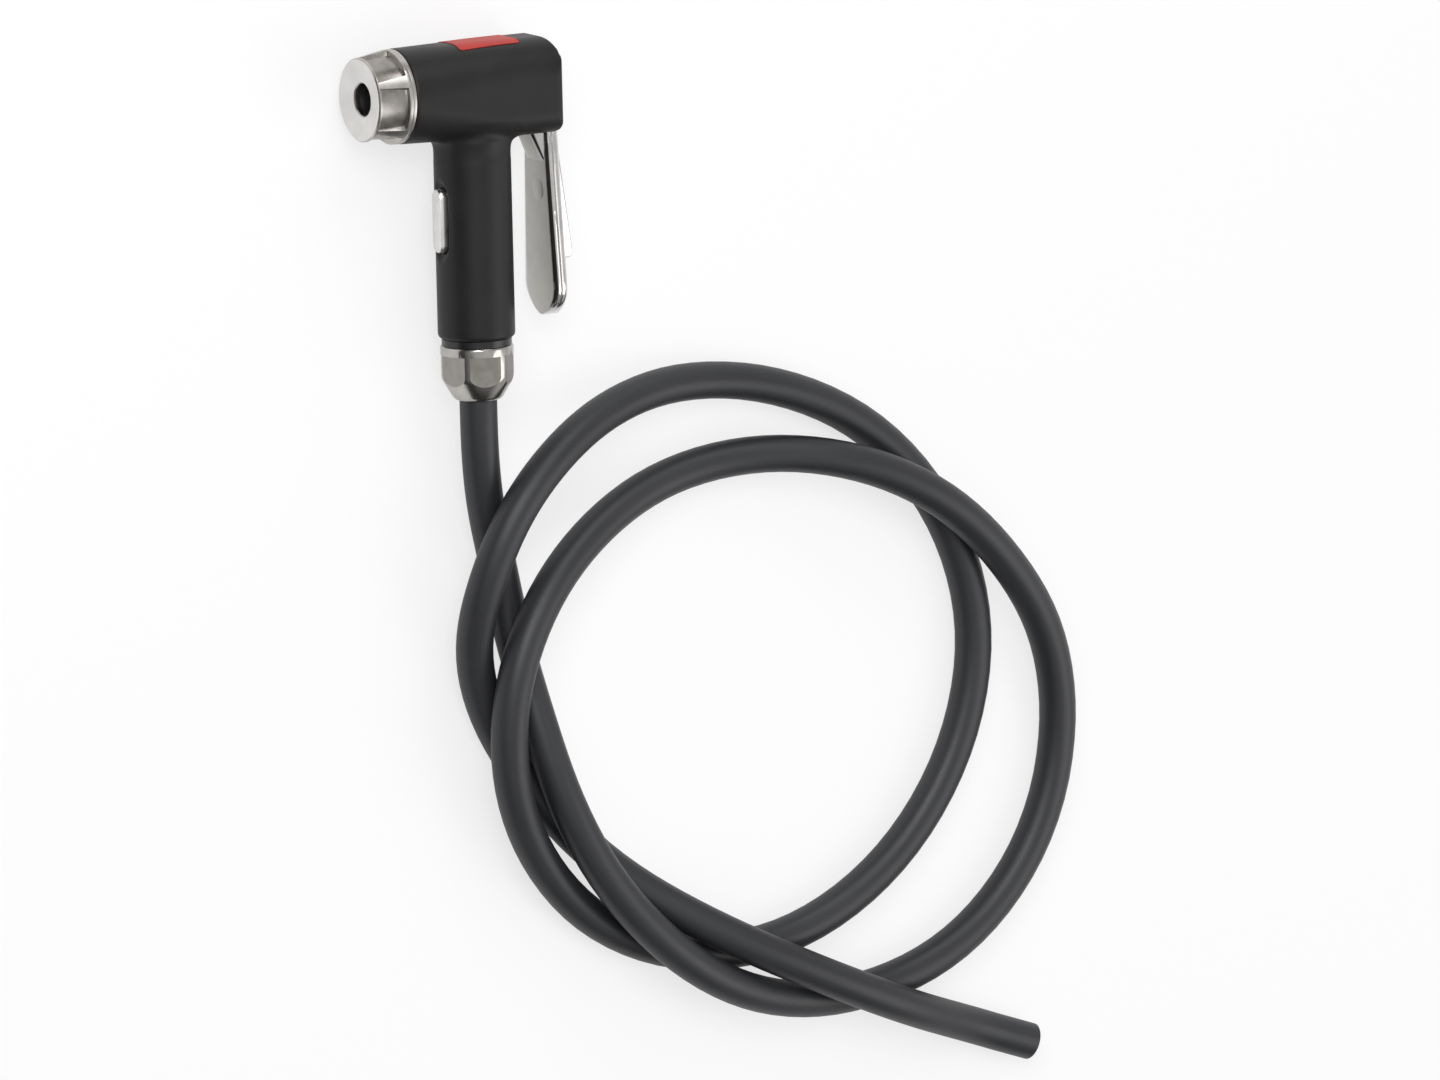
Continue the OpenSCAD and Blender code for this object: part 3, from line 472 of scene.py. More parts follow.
@dataclass
class Studio:
    """Camera, floor, lamps and surroundings."""

    image_width: int = 1440
    image_height: int = 1080
    mm_per_pixel: float = 0.263
    head_pixel_x: float = 470.3
    head_pixel_y: float = 88.5
    distance: float = 4500.0
    view_right: tuple[float, float, float] = (0.863, -0.023, 0.505)
    view_up: tuple[float, float, float] = (0.105, 0.985, -0.135)
    sensor: float = 36.0
    # Share of its own white that the floor shows to the camera, and in reflections
    floor_glow: float = 0.72
    floor_glow_mirrored: float = 0.4
    # Tones of the room from the horizon up, as its walls and lamps are mirrored in metal
    room: tuple[tuple[float, str], ...] = ((0.0, "#4a4a4a"), (0.25, "#3c3c3c"), (0.55, "#8c8c8c"),
                                           (0.8, "#c8c8c8"), (1.0, "#d8d8d8"))
    # Tones of the pale wall behind the lever, from the middle of the room across to it
    side_wall: tuple[tuple[float, str], ...] = ((0.2, "#000000"), (0.6, "#c0bebd"), (1.0, "#dcdad9"))

    def camera(self) -> None:
        """Sets the camera far back with a long lens, so that lines stay parallel."""
        right = Vector(self.view_right).normalized()
        back = right.cross(Vector(self.view_up)).normalized()
        up = back.cross(right)
        across = (self.image_width / 2 - self.head_pixel_x) * self.mm_per_pixel
        down = (self.image_height / 2 - self.head_pixel_y) * self.mm_per_pixel
        place = Vector((GRIP_X, 0, 0)) + right * across - up * down + back * self.distance
        lens = bpy.data.cameras.new("camera")
        lens.sensor_width = self.sensor
        lens.lens = self.sensor * self.distance / (self.image_width * self.mm_per_pixel)
        lens.clip_start = 0.1
        lens.clip_end = 20.0
        camera = bpy.data.objects.new("camera", lens)
        bpy.context.scene.collection.objects.link(camera)
        turn = Matrix((right, up, back)).transposed().to_4x4()
        camera.matrix_world = Matrix.Translation(place * MM) @ turn
        bpy.context.scene.camera = camera

    def floor(self) -> None:
        """Lays a wide pale floor under the part."""
        only(NODES["housing"])
        bpy.ops.object.select_all(action="DESELECT")
        bpy.ops.mesh.primitive_plane_add(size=12.0, location=(0, 0, (TABLE_Z - 0.02) * MM))
        floor = bpy.context.active_object
        floor.name = "floor"
        paint = bpy.data.materials.new("pale_studio_floor")
        paint.use_nodes = True
        tree = paint.node_tree
        tree.nodes.clear()
        rays = add_node(tree, "ShaderNodeLightPath")
        mirrored = add_node(tree, "ShaderNodeMath", {1: self.floor_glow_mirrored},
                            {0: rays.outputs["Is Glossy Ray"]}, operation="MULTIPLY")
        share = add_node(tree, "ShaderNodeMath", {1: self.floor_glow},
                         {0: rays.outputs["Is Camera Ray"], 2: mirrored.outputs[0]},
                         operation="MULTIPLY_ADD")
        matt = add_node(tree, "ShaderNodeBsdfDiffuse", {"Color": linear("#f4f4f4")})
        glow = add_node(tree, "ShaderNodeEmission", {"Color": (1, 1, 1, 1), "Strength": 1.0})
        both = add_node(tree, "ShaderNodeMixShader", links={0: share.outputs[0], 1: matt.outputs[0],
                                                            2: glow.outputs[0]})
        add_node(tree, "ShaderNodeOutputMaterial", links={"Surface": both.outputs[0]})
        floor.data.materials.append(paint)

    def surroundings(self) -> None:
        """Surrounds the part with a plain pale room that dims toward the ground."""
        world = bpy.data.worlds.new("studio")
        bpy.context.scene.world = world
        world.use_nodes = True
        tree = world.node_tree
        tree.nodes.clear()
        rays = add_node(tree, "ShaderNodeLightPath")
        where = add_node(tree, "ShaderNodeTexCoord")
        split = add_node(tree, "ShaderNodeSeparateXYZ", links={0: where.outputs["Generated"]})
        height = add_node(tree, "ShaderNodeValToRGB", links={"Fac": split.outputs["Z"]})
        ramp_stops(height, self.room)
        across = add_node(tree, "ShaderNodeValToRGB", links={"Fac": split.outputs["X"]})
        ramp_stops(across, self.side_wall)
        tone = add_node(tree, "ShaderNodeMix", {0: 1.0}, {6: height.outputs["Color"], 7: across.outputs["Color"]},
                        data_type="RGBA", blend_type="LIGHTEN")
        soft = add_node(tree, "ShaderNodeBackground", {"Strength": 1.0}, {"Color": tone.outputs[2]})
        white = add_node(tree, "ShaderNodeBackground", {"Color": (1, 1, 1, 1), "Strength": 1.0})
        both = add_node(tree, "ShaderNodeMixShader", links={0: rays.outputs["Is Camera Ray"],
                                                            1: soft.outputs[0], 2: white.outputs[0]})
        add_node(tree, "ShaderNodeOutputWorld", links={"Surface": both.outputs[0]})

    def lamp(self, name: str, place: Sequence[float], target: Sequence[float], size: float,
             power: float) -> None:
        """Hangs a square soft lamp.

        Args:
            name: Name of the lamp.
            place: Where it hangs, in metres.
            target: Point that it faces, in metres.
            size: Length of its sides, in metres.
            power: Power in watts.
        """
        light = bpy.data.lights.new(name, "AREA")
        light.shape = "SQUARE"
        light.size = size
        light.energy = power
        lamp = bpy.data.objects.new(name, light)
        bpy.context.scene.collection.objects.link(lamp)
        lamp.location = place
        lamp.rotation_mode = "QUATERNION"
        lamp.rotation_quaternion = (Vector(target) - Vector(place)).to_track_quat("-Z", "Y")

    def build(self) -> None:
        """Builds the studio."""
        self.camera()
        self.floor()
        self.surroundings()
        target = (0.1, -0.12, 0.0)
        self.lamp("key", (-0.5, 0.5, 1.1), target, 0.7, 9.0)
        self.lamp("fill", (1.0, -0.6, 1.0), target, 0.9, 5.0)
        self.lamp("back", (0.2, 1.1, 0.7), target, 0.6, 4.0)
        bpy.context.scene.view_settings.view_transform = "Standard"


# ---- Hose ----

@dataclass
class Hose:
    """Rubber hose in its lay, from the fitting to its cut end, in millimetres."""

    outer: float = 10.0
    bore: float = 5.0
    tail_angle: float = -20.0
    lead: float = 2.0
    steps: int = 6
    sides: int = 28
    relax_rounds: int = 6
    # Points of the centre as (from the grip axis, from the nut mouth, above the floor)
    route: tuple[tuple[float, float, float], ...] = (
        (1, -16, 11.2), (4, -30, 8), (8.5, -46, 5.6), (12.5, -66, 5.8), (16, -88, 11.6),
        (21.5, -110, 15.8), (35, -135, 16.6), (60, -159.5, 15.8), (88, -172.5, 10),
        (118, -175, 5.2), (148, -165.5, 5), (171, -143, 5), (181.5, -112, 5), (177, -84, 8.4),
        (161.5, -61, 13.6), (140, -41, 16.1), (116, -29, 14), (90, -24.5, 7.6), (62, -28, 5.2),
        (37, -38.5, 9.6), (17, -55, 15.2), (6, -77, 17), (5.2, -101, 15.4), (15.5, -125, 10),
        (37, -147, 5.4), (66, -158.5, 5), (98, -156.5, 5), (128, -140, 5), (149, -112, 5),
        (156, -80, 5), (147.5, -49, 5), (125, -22, 5), (95, -7, 5), (64, -3, 6),
        (40, -7.5, 10.8), (20.5, -17.5, 16.4), (7.5, -30.5, 18.2), (-0.5, -48, 16.2),
        (-2, -67, 10), (4, -86, 5.6), (18.5, -109, 5), (41, -132.5, 6), (66, -149.5, 13.2),
        (92, -163, 16.6), (117, -174.5, 16.6), (131, -180.3, 13.3), (144, -185.2, 8.3),
        (154, -188.9, 5.6))
    tip: tuple[float, float, float] = (170.5, -195, 5)

    def placed(self, point: Sequence[float]) -> Vector:
        """Returns a route point in the frame, in millimetres."""
        return Vector((GRIP_X + point[0], NUT_MOUTH_Y + point[1], TABLE_Z + point[2]))

    def centreline(self) -> list[Vector]:
        """Returns the points of one smooth curve through the route."""
        turn = math.radians(self.tail_angle)
        out = Vector((math.cos(turn), math.sin(turn), 0))
        tip = self.placed(self.tip)
        knots = [Vector((GRIP_X, NUT_MOUTH_Y - self.lead, 0)), *map(self.placed, self.route),
                 tip - self.outer * out]
        gaps = [(b - a).length for a, b in zip(knots, knots[1:])]
        slopes = [Vector((0, -1, 0))]
        for i in range(1, len(knots) - 1):
            back, ahead = (knots[i] - knots[i - 1]) / gaps[i - 1], (knots[i + 1] - knots[i]) / gaps[i]
            slopes.append((back * gaps[i] + ahead * gaps[i - 1]) / (gaps[i] + gaps[i - 1]))
        slopes.append(out)
        curve = [Vector((GRIP_X, HOSE_TOP_Y, 0)), Vector((GRIP_X, (HOSE_TOP_Y + NUT_MOUTH_Y) / 2, 0)),
                 Vector((GRIP_X, NUT_MOUTH_Y, 0))]
        for i, gap in enumerate(gaps):
            for k in range(self.steps):
                t = k / self.steps
                curve.append((2 * t**3 - 3 * t**2 + 1) * knots[i] + (t**3 - 2 * t**2 + t) * gap * slopes[i]
                             + (3 * t**2 - 2 * t**3) * knots[i + 1] + (t**3 - t**2) * gap * slopes[i + 1])
        curve += [knots[-1], knots[-1] + self.outer / 2 * out, tip]
        return self.relaxed(curve)

    def relaxed(self, curve: list[Vector]) -> list[Vector]:
        """Evens out the bends, as the stiffness of the hose does."""
        held = 4
        floor = TABLE_Z + self.outer / 2
        for _ in range(self.relax_rounds):
            inner = [(curve[i - 1] + 2 * curve[i] + curve[i + 1]) / 4
                     for i in range(held, len(curve) - held)]
            curve = curve[:held] + inner + curve[-held:]
        for point in curve:
            point.z = max(point.z, floor)
        return curve

    def build(self) -> None:
        """Builds the hose with its bore open at the cut end."""
        curve = self.centreline()
        skins = self.skins(len(curve))
        shape = bmesh.new()
        rings = [self.ring(shape, curve, i, radius) for i, radius in skins]
        along = [0.0]
        for (i, _), (j, _) in zip(skins, skins[1:]):
            along.append(along[-1] + (curve[j] - curve[i]).length)
        chart = shape.loops.layers.uv.new("lengthwise")
        for n, (near, far) in enumerate(zip(rings, rings[1:])):
            for k in range(self.sides):
                m = (k + 1) % self.sides
                face = shape.faces.new((near[k], near[m], far[m], far[k]))
                round_share = [k, k + 1, k + 1, k]
                run = [along[n], along[n], along[n + 1], along[n + 1]]
                for loop, share, way in zip(face.loops, round_share, run):
                    loop[chart].uv = (share / self.sides * math.pi * self.outer * MM, way * MM)
        shape.faces.new(list(reversed(rings[0])))
        shape.faces.new(rings[-1])
        mesh = bpy.data.meshes.new("rubber_hose")
        bmesh.ops.recalc_face_normals(shape, faces=shape.faces)
        shape.to_mesh(mesh)
        shape.free()
        piece = bpy.data.objects.new("rubber_hose", mesh)
        bpy.context.scene.collection.objects.link(piece)
        dressed(piece, HOSE_RUBBER)
        smooth(piece, 40)
        handed_over(piece, "head", "hose_rubber", "hose", "hose_cut_end")

    def skins(self, count: int) -> list[tuple[int, float]]:
        """Returns the rings as (point of the centreline, radius), out along the hose and back in its bore."""
        radius, chamfer = self.outer / 2, 0.25
        out = [(0, self.bore / 2), (0, radius)] + [(i, radius) for i in range(1, count - 1)]
        last = count - 1
        return out + [(last, radius), (last, radius - chamfer), (last, self.bore / 2 + chamfer / 2),
                      (last, self.bore / 2), (last - 4, self.bore / 2)]

    def ring(self, shape: bmesh.types.BMesh, curve: Sequence[Vector], i: int,
             radius: float) -> list[bmesh.types.BMVert]:
        """Adds one ring of the hose, square to its centre."""
        before, after = curve[max(i - 1, 0)], curve[min(i + 1, len(curve) - 1)]
        ahead = (after - before).normalized()
        side = Vector((0, 0, 1)).cross(ahead).normalized()
        up = ahead.cross(side)
        ring = []
        for k in range(self.sides):
            a = 2 * math.pi * k / self.sides
            ring.append(shape.verts.new((curve[i] + radius * (math.cos(a) * side + math.sin(a) * up)) * MM))
        return ring


# ---- Screw cap ----

@dataclass
class ScrewCap:
    """Screw cap with its ribs, flutes and flange, in millimetres."""

    disc_radius: float = 11.1
    disc_edge: float = 0.8
    dish: float = 1.0
    flute_radius: float = 10.5
    flute_rise: float = 0.5
    flange_radius: float = 12.55
    flange_width: float = 2.0
    ribs: int = 5
    first_rib: float = 26.0
    rib_front: float = 1.7
    rib_rear: float = 3.5
    wall: float = 2.6
    port_radius: float = 4.35

    def build(self) -> None:
        """Builds the cap."""
        length = high("front_cap").x
        flange_x = length - self.flange_width
        bore = 9.65
        profile = [(self.dish - 0.05, self.port_radius + 0.3), (0, self.disc_radius - 0.35),
                   (0.35, self.disc_radius), (self.disc_edge, self.disc_radius),
                   (flange_x, self.flange_radius - 0.05), (flange_x + 0.75, self.flange_radius),
                   (flange_x + 0.85, self.flange_radius - 0.12), (flange_x + 1.0, self.flange_radius - 0.12),
                   (flange_x + 1.1, self.flange_radius), (length - 0.1, self.flange_radius),
                   (length, self.flange_radius - 0.1), (length, bore), (self.wall, bore),
                   (self.wall, self.port_radius), (self.dish + 0.25, self.port_radius)]
        cap = turned("screw_cap", profile, TurnAxis.BARREL, 160, closed=True)
        combine(cap, self.pockets(flange_x))
        bevelled(cap, 0.14, 3, 35)
        smooth(cap, 32)
        dressed(cap, CAP_NICKEL, CAP_DISC, CAP_FLUTE_PAINTED_SHADE)
        paint_where(cap, 1, lambda c, n: n.x < -0.9 and c.x < self.dish)
        # The flute faces take the darker plate: painted shade in the hollows between the ribs
        paint_where(cap, 2, lambda c, n: self.disc_edge < c.x < flange_x + 0.05 and
                    self.flute_radius - 0.3 < math.hypot(c.y, c.z) < self.flute_floor(c.x) + 0.6)
        handed_over(cap, "screw_cap", "cap_metal", "front_cap")

    def flute_floor(self, x: float) -> float:
        """Returns the radius of the fluted surface at a place along the barrel."""
        span = high("front_cap").x - self.flange_width - self.disc_edge
        return self.flute_radius + self.flute_rise * (x - self.disc_edge) / span

    def pockets(self, flange_x: float) -> bpy.types.Object:
        """Returns the tool that cuts the hollows between the ribs."""
        far = self.flange_radius + 3
        band = turned("pockets", [(self.disc_edge, self.flute_radius),
                                  (flange_x, self.flute_radius + self.flute_rise),
                                  (flange_x, far), (self.disc_edge, far)], TurnAxis.BARREL, 160, closed=True)
        for i in range(self.ribs):
            turn = math.radians(self.first_rib + 360 * i / self.ribs)
            half_front, half_rear = self.rib_front / 2, self.rib_rear / 2
            reach = 1.0
            slope = (half_rear - half_front) / (flange_x - self.disc_edge)
            corners = [(self.disc_edge - reach, half_front - slope * reach),
                       (flange_x + reach, half_rear + slope * reach)]
            out = Vector((0, math.sin(turn), math.cos(turn)))
            side = Vector((0, math.cos(turn), -math.sin(turn)))
            points = [Vector((x, 0, 0)) + side * (w * way) + out * 8
                      for (x, w), way in ((corners[0], -1), (corners[1], -1), (corners[1], 1), (corners[0], 1))]
            combine(band, extruded(outline("rib", points), out * 9))
        bevelled(band, 0.75, 5, 40)
        return band


# ---- Lever ----

@dataclass
class Lever:
    """Locking lever with cam hub, neck, blade and spine, in millimetres from its pin."""

    cam_low: float = 6.0
    cam_lift: float = 2.6
    hub_width: float = 12.0
    neck_width: float = 9.7
    blade_in: float = 3.5
    blade_thick: float = 5.1
    lean: float = 0.8
    knee: float = 23.5
    length: float = 64.5
    tip: float = 7.5
    step: float = 0.8
    middle: float = 2.4
    end_width: float = 17.7
    spine_width: float = 5.2
    spine_height: float = 4.2
    spine_top: float = 14.5
    spine_end: float = 48.2
    mark_radius: float = 2.95
    mark_y: float = -30.8
    mark_z: float = 0.9
    neck_corner: float = 1.9
    # Edge of the blade as (from the inner face, inset from the side): chamfer, ridge and seam
    rim: tuple[tuple[float, float], ...] = (
        (0, 1.35), (0, 1.2), (0.05, 1.02), (0.14, 0.83), (0.44, 0.22), (0.53, 0.07), (0.66, 0),
        (0.8, 0), (1.3, 0), (1.36, 0.08), (1.42, 0.32), (1.72, 0.32), (1.78, 0.08), (1.86, 0))

    def build(self) -> None:
        """Builds the lever."""
        lever = joined("locking_lever", [self.blade(), self.neck(), self.hub(), self.spine(), self.mark()])
        dressed(lever, LEVER_POLISH, LEVER_MATT)
        paint_where(lever, 1, self.as_cast)
        handed_over(lever, "lever", "lever_metal", "lever")

    def as_cast(self, centre: Vector, normal: Vector) -> bool:
        """Says whether a face belongs to the matt inner side of blade or neck."""
        flat = self.neck_width / 2 - self.neck_corner + 0.05
        before_blade = centre.x < PIVOT.x + self.blade_in - 0.02
        on_neck = before_blade and normal.x < -0.5 and abs(centre.z) < flat
        return centre.y < PIVOT.y - 5 and (normal.x < -0.95 or on_neck)

    def half_width(self, down: float) -> float:
        """Returns half the width of the blade at a distance below the pin."""
        stops = [(0, self.hub_width), (16, self.hub_width), (19, self.hub_width + self.step),
                 (31.5, self.hub_width + self.middle), (self.length - self.tip, self.end_width)]
        if down > stops[-1][0]:
            share = min((down - stops[-1][0]) / self.tip, 0.985)
            return stops[-1][1] / 2 * (1 - share ** (1 / 0.6)) ** 0.6
        for (a, wa), (b, wb) in zip(stops, stops[1:]):
            if down <= b:
                return (wa + (wb - wa) * (down - a) / (b - a)) / 2
        return stops[-1][1] / 2

    def blade(self) -> bpy.types.Object:
        """Returns the crowned blade."""
        half = self.half_width(0)
        rim = [(x, half - inset) for x, inset in self.rim]
        seam = self.rim[-1][0]
        rise = self.blade_thick - seam
        crown = [(seam + rise * (1 - s ** 2.6) ** (1 / 2.6), half * s)
                 for s in (0.997, 0.985, 0.95, 0.9, 0.8, 0.65, 0.45, 0.2)]
        quarter = [(0, 0.45 * half)] + rim + crown
        section = quarter + [(x, -z) for x, z in reversed(quarter)]
        ring = [(PIVOT.x + self.blade_in + x, PIVOT.y, z) for x, z in section]
        stops = [4, 8, 12, 16, 17, 18, 19, 22, 26, 31.5, 36, 40, 44, 48, 52, 55, 57]
        stops += [self.length - self.tip + self.tip * s for s in (0.2, 0.38, 0.54, 0.68, 0.8, 0.9, 0.96, 1.0)]
        stations = []
        last_down, last_half, last_lean = 0.0, half, 0.0
        for down in stops:
            width = self.half_width(down)
            lean = self.lean * max(0.0, down - self.knee) / (self.length - self.knee)
            stations.append((lean - last_lean, -(down - last_down), 1.0, width / last_half))
            last_down, last_half, last_lean = down, width, lean
        blade = swept("blade", ring, stations, (PIVOT.x + self.blade_in, PIVOT.y, 0))
        bevelled(blade, 0.7, 4, 60)
        smooth(blade, 50)
        return blade

    def neck(self) -> bpy.types.Object:
        """Returns the web between hub and blade, with its crowned front."""
        half, corner, back = self.neck_width / 2, self.neck_corner, 6.0
        front = -self.cam_low + 0.6
        crowned = [(front + 0.9 * (z / half) ** 2, z) for z in (0, half * 0.25, half * 0.45, half - corner)]
        start = crowned[-1][0]
        arc = [(start + corner * (1 - math.cos(t)), half - corner + corner * math.sin(t))
               for t in (math.radians(a) for a in (15, 30, 45, 60, 75, 90))]
        quarter = crowned[1:] + arc + [(back, half)]
        section = [crowned[0]] + quarter + [(x, -z) for x, z in reversed(quarter)]
        ring = [(PIVOT.x + x, PIVOT.y - 4.2, z) for x, z in section]
        drop, steps = self.knee + 3 - 4.2, 8
        slope = (self.blade_in + 0.1 - front) / (self.knee - 4.2)
        reach = back - front
        stations = []
        for i in range(steps):
            now, then = reach - slope * drop * i / steps, reach - slope * drop * (i + 1) / steps
            stations.append((0, -drop / steps, max(then, 0.1) / now, 1.0))
        neck = swept("neck", ring, stations, (PIVOT.x + back, PIVOT.y - 4.2, 0))
        smooth(neck, 50)
        return neck

    def hub(self) -> bpy.types.Object:
        """Returns the cam hub with its bore."""
        rate = self.cam_lift / (math.pi / 2)
        top = self.cam_low + self.cam_lift
        points = []
        for a in range(180, 361, 6):
            t = math.radians(a)
            points.append((self.cam_low * math.cos(t), self.cam_low * math.sin(t)))
        for a in range(0, 79, 6):
            t = math.radians(a)
            points.append((top * math.cos(t), top * math.sin(t)))
        for a in range(90, 0, -5):
            t = math.radians(a)
            reach = self.cam_low + rate * t
            points.append((-reach * math.cos(t) + rate * math.sin(t), reach * math.sin(t) + rate * math.cos(t)))
        half = self.hub_width / 2
        hub = extruded(outline("hub", [(PIVOT.x + x, PIVOT.y + y, -half) for x, y in points]),
                       (0, 0, self.hub_width))
        only(hub)
        bpy.ops.object.select_all(action="DESELECT")
        bpy.ops.mesh.primitive_cylinder_add(vertices=64, radius=2.05 * MM, depth=0.03,
                                            location=(PIVOT.x * MM, PIVOT.y * MM, 0))
        combine(hub, bpy.context.active_object)
        bevelled(hub, 0.4, 3, 40)
        smooth(hub, 40)
        return hub

    def spine(self) -> bpy.types.Object:
        """Returns the rounded spine on the back of the blade."""
        out = self.blade_in + self.blade_thick
        peak = out + self.spine_height
        points = [(out - 1, -self.spine_top), (out - 0.1, -self.spine_top),
                  (peak, -self.spine_end + 0.6), (peak, -self.spine_end - 0.8),
                  (peak - 0.8, -self.spine_end - 1.6), (out - 1, -self.spine_end - 1.6)]
        half = self.spine_width / 2
        spine = extruded(outline("spine", [(PIVOT.x + x, PIVOT.y + y, -half) for x, y in points]),
                         (0, 0, self.spine_width))
        bevelled(spine, 0.8, 4, 25)
        smooth(spine, 40)
        return spine

    def mark(self) -> bpy.types.Object:
        """Returns the round mark that the ejector pin leaves on the inner face."""
        lean = self.lean * (-self.mark_y - self.knee) / (self.length - self.knee)
        face = PIVOT.x + self.blade_in + lean
        only(NODES["housing"])
        bpy.ops.object.select_all(action="DESELECT")
        bpy.ops.mesh.primitive_cylinder_add(vertices=64, radius=self.mark_radius * MM, depth=0.3 * MM,
                                            location=((face + 0.09) * MM, (PIVOT.y + self.mark_y) * MM, self.mark_z * MM),
                                            rotation=(0, math.pi / 2, 0))
        mark = bpy.context.active_object
        bpy.ops.object.transform_apply(location=True, rotation=True, scale=True)
        bevelled(mark, 0.05, 2, 40)
        smooth(mark, 40)
        return mark


# ---- Release button ----

@dataclass
class ReleaseButton:
    """Oblong grooved button in the front of the grip, in millimetres."""

    groove_at: float = 0.9
    groove_width: float = 0.3
    groove_depth: float = 0.3

    def build(self) -> None:
        """Builds the button with its rounded rim and its groove."""
        lowest, highest = low("release_button"), high("release_button")
        width, length = highest.z - lowest.z, highest.y - lowest.y
        thick = highest.x - lowest.x
        middle = (highest.y + lowest.y) / 2
        rim, straight, count = width / 2, (length - width) / 2, 20
        ring = []
        for i in range(2 * count):
            a = math.pi * (i + 0.5) / count
            shift = straight if math.sin(a) > 0 else -straight
            ring.append((lowest.x, middle + shift + rim * math.sin(a), rim * math.cos(a)))
        face = outline("release_button_cap", [p for p in ring])
        only(face)
        bpy.ops.object.mode_set(mode="EDIT")
        bpy.ops.mesh.select_all(action="SELECT")
        centre = Vector((lowest.x, middle, 0)) * MM
        steps = [(0, 0.55), (0.12, 0.2), (0.2, 0.08), (0.58, 0.0), (0.04, self.groove_depth),
                 (self.groove_width - 0.08, self.groove_depth), (0.04, 0.0), (0.5, 0.0),
                 (thick - 1.7, 0.0)]
        bpy.ops.transform.resize(value=self.shrink(width, length, 0.0, 0.55), center_override=centre)
        inset = 0.55
        x = lowest.x
        for move, target in steps[1:]:
            bpy.ops.mesh.extrude_region_move(TRANSFORM_OT_translate={"value": (move * MM, 0, 0)})
            x += move
            centre = Vector((x, middle, 0)) * MM
            bpy.ops.transform.resize(value=self.shrink(width, length, inset, target), center_override=centre)
            inset = target
        close_edit()
        clean(face)
        self.hollow(face, highest.x, middle)
        smooth(face, 35)
        dressed(face, BUTTON_SATIN)
        handed_over(face, "release", "button_metal", "release_button")

    @staticmethod
    def shrink(width: float, length: float, before: float, after: float) -> tuple[float, float, float]:
        """Returns the scale that takes the outline from one inset to another."""
        return (1.0, (length - 2 * after) / (length - 2 * before), (width - 2 * after) / (width - 2 * before))

    def hollow(self, button: bpy.types.Object, back: float, middle: float) -> None:
        """Cuts the pocket for the spring and the hole for the stem."""
        for radius, depth in ((1.75, 1.55), (0.8, 2.6)):
            only(button)
            bpy.ops.object.select_all(action="DESELECT")
            bpy.ops.mesh.primitive_cylinder_add(
                vertices=48, radius=radius * MM, depth=2 * depth * MM,
                location=(back * MM, middle * MM, 0), rotation=(0, math.pi / 2, 0))
            combine(button, bpy.context.active_object)


# ---- Hose nut ----

@dataclass
class HoseNut:
    """Hex nut with its band, six flats and tapered mouth, in millimetres."""

    radius: float = 9.7
    flats: float = 17.5
    taper: float = 5.8
    mouth_radius: float = 6.5
    band: float = 1.75
    skirt: float = 7.45
    hole: float = 5.15
    turn: float = 14.8

    def build(self) -> None:
        """Builds the nut."""
        top, mouth = -high("hose_nut").y, -low("hose_nut").y
        taper_y = mouth - self.taper
        throat = top + 6.95
        profile = [(top, self.skirt), (top, self.radius - 0.45), (top + 0.15, self.radius - 0.15),
                   (top + 0.5, self.radius), (taper_y - 0.8, self.radius), (taper_y, self.radius - 0.12),
                   (taper_y + 0.7, self.radius - 0.42), (mouth - 0.9, self.mouth_radius + 0.3),
                   (mouth - 0.4, self.mouth_radius - 0.1), (mouth - 0.1, self.mouth_radius - 0.45),
                   (mouth, self.mouth_radius - 0.8), (mouth, self.hole), (throat + 4, self.hole + 0.2),
                   (throat, self.skirt)]
        nut = turned("hex_hose_nut", profile, TurnAxis.GRIP, 192, closed=True)
        combine(nut, self.envelope(top, mouth), "INTERSECT")
        bevelled(nut, 0.12, 2, 18)
        smooth(nut, 25)
        dressed(nut, NUT_GLOSS, NUT_FLAT)
        apothem = self.flats / 2
        paint_where(nut, 1, lambda c, n: abs(n.y) < 0.02 and
                    abs(Vector((c.x - GRIP_X, 0, c.z)).dot(Vector((n.x, 0, n.z))) - apothem) < 0.03)
        handed_over(nut, "head", "nut_metal", "hose_nut")

    def envelope(self, top: float, mouth: float) -> bpy.types.Object:
        """Returns the tool that leaves the band round and mills the six flats below it."""
        prism_points = []
        for i in range(6):
            a = math.radians(60 * i + self.turn)
            r = self.flats / 2 / math.cos(math.radians(30))
            prism_points.append((GRIP_X + r * math.sin(a), -top, r * math.cos(a)))
        prism = extruded(outline("prism", prism_points), (0, -(mouth - top + 1), 0))
        under = top + self.band
        wide = self.radius + 1
        slant = 0.7
        flat = self.flats / 2
        rise = slant / (self.radius + 0.1 - flat) * (wide - self.radius - 0.1)
        crown = turned("crown", [(top - 1, 0), (top - 1, wide), (under + slant + rise, wide),
                                 (under - 0.3, flat - 0.45), (under - 0.3, 0)], TurnAxis.GRIP, 192)
        combine(crown, prism, "UNION")
        return crown


# ---- Housing ----

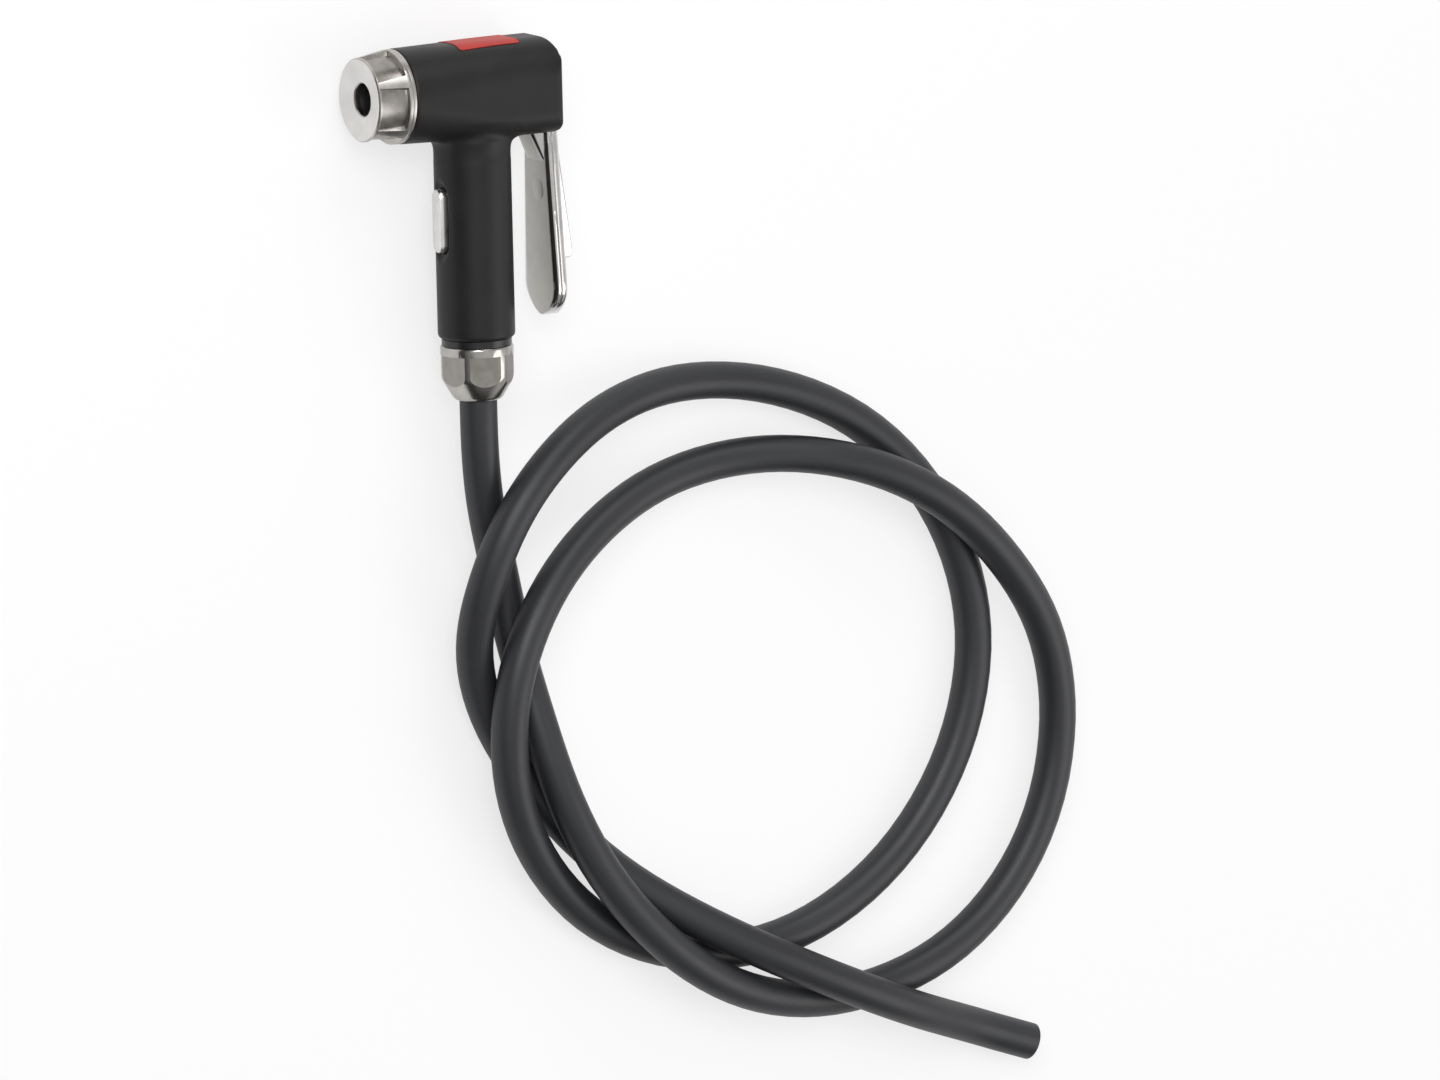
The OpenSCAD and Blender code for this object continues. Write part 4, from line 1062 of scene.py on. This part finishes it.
@dataclass
class Housing:
    """Barrel and grip, cast in one, in millimetres."""

    voxel: float = 0.4
    root_top: float = -8.0
    root_bottom: float = -18.5

    def build(self) -> bpy.types.Object:
        """Builds the coated casting with its soft cast edges.

        Returns:
            The finished casting, which the label lies on.
        """
        piece = NODES["housing"].copy()
        piece.data = NODES["housing"].data.copy()
        piece.parent = None
        piece.name = "housing_casting"
        piece.data.name = "housing_casting"
        for key in list(piece.keys()):
            del piece[key]
        bpy.context.scene.collection.objects.link(piece)
        clean(piece)
        only(piece)
        modifier = piece.modifiers.new("cast", "REMESH")
        modifier.mode = "VOXEL"
        modifier.voxel_size = self.voxel * MM
        bpy.ops.object.modifier_apply(modifier=modifier.name)
        self.soften(piece, lambda c, n: True, 3)
        self.soften(piece, self.at_root, 60)
        smooth(piece, 60)
        dressed(piece, SATIN_BLACK)
        handed_over(piece, "head", "housing_black", "housing")
        return piece

    def at_root(self, centre: Vector, normal: Vector) -> bool:
        """Says whether a face lies at the root of the grip, on the outside."""
        away = Vector((centre.x - GRIP_X, centre.z)).length
        return self.root_bottom < centre.y < self.root_top and 9.5 < away < 14.5 and centre.x < GRIP_X + 12.2

    def soften(self, piece: bpy.types.Object, test: Callable[[Vector, Vector], bool], rounds: int) -> None:
        """Smooths the faces that pass a test, a number of rounds."""
        select_where(piece, test)
        bpy.ops.mesh.vertices_smooth(factor=0.5, repeat=rounds)
        close_edit()


# ---- Label ----

@dataclass
class TopLabel:
    """Foil that lies on the crest of the barrel, in millimetres."""

    corner: float = 0.8
    thick: float = 0.16
    rows: int = 24

    def build(self, casting: bpy.types.Object) -> None:
        """Builds the foil and lays it on the casting.

        Args:
            casting: The finished casting that the foil follows.
        """
        lowest, highest = low("top_label"), high("top_label")
        margin = 0.1
        x0, x1 = lowest.x + margin, highest.x - margin
        z0, z1 = lowest.z + margin, highest.z - margin
        points = []
        for (cx, cz), start in (((x1 - self.corner, z1 - self.corner), 0), ((x0 + self.corner, z1 - self.corner), 90),
                                ((x0 + self.corner, z0 + self.corner), 180), ((x1 - self.corner, z0 + self.corner), 270)):
            for a in range(start, start + 91, 15):
                t = math.radians(a)
                points.append((cx + self.corner * math.cos(t), highest.y + 2, cz + self.corner * math.sin(t)))
        foil = outline("printed_foil", points)
        only(foil)
        bpy.ops.object.mode_set(mode="EDIT")
        bpy.ops.mesh.select_all(action="SELECT")
        for axis, first, last in ((Vector((0, 0, 1)), z0, z1), (Vector((1, 0, 0)), x0, x1)):
            for i in range(1, self.rows):
                place = first + (last - first) * i / self.rows
                bpy.ops.mesh.select_all(action="SELECT")
                bpy.ops.mesh.bisect(plane_co=axis * place * MM, plane_no=axis)
        close_edit()
        lay = foil.modifiers.new("lay", "SHRINKWRAP")
        lay.target = casting
        lay.wrap_method = "PROJECT"
        lay.use_project_x, lay.use_project_y, lay.use_project_z = False, True, False
        lay.use_negative_direction, lay.use_positive_direction = True, True
        lay.offset = 0.02 * MM
        bpy.ops.object.modifier_apply(modifier=lay.name)
        sheet = foil.modifiers.new("sheet", "SOLIDIFY")
        sheet.thickness = self.thick * MM
        sheet.offset = -1.0
        bpy.ops.object.modifier_apply(modifier=sheet.name)
        clean(foil)
        smooth(foil, 45)
        dressed(foil, LABEL_FOIL)
        handed_over(foil, "head", "label_red", "top_label")


# ---- Inner pieces ----

class InnerPieces:
    """Pieces whose solids already have their shape and get a finish."""

    finishes: dict[str, Finish] = {
        "front_washer": GROUND_STEEL, "valve_seal": SEAL_RUBBER, "seal_washer": GROUND_STEEL,
        "spring_seat": GROUND_STEEL, "plunger_spring": SPRING_WIRE, "plunger": TURNED_BRASS,
        "plunger_o_rings": SEAL_RUBBER, "depressor_pin": TURNED_BRASS, "thrust_pad": PAD_ACETAL,
        "lever_pin": GROUND_STEEL, "release_spring": SPRING_WIRE, "release_stem": GROUND_STEEL,
        "release_seal": SEAL_RUBBER, "release_seat": TURNED_BRASS, "hose_fitting": TURNED_BRASS,
        "fitting_o_ring": SEAL_RUBBER, "grip_collar": COLLAR_PLASTIC, "hose_ferrule": FERRULE_NYLON,
    }

    def build(self) -> None:
        """Dresses the inner pieces."""
        for name, finish in self.finishes.items():
            dressed(NODES[name], finish)
            LOG.info("dressed %s", name)


def main() -> None:
    """Builds the studio and the part, in order."""
    logging.basicConfig(level=logging.INFO, format="%(message)s")
    Studio().build()
    Hose().build()
    TopLabel().build(Housing().build())
    for assembly in (ScrewCap(), Lever(), ReleaseButton(), HoseNut(), InnerPieces()):
        assembly.build()
    bpy.ops.object.select_all(action="DESELECT")


if __name__ == "__main__":
    main()
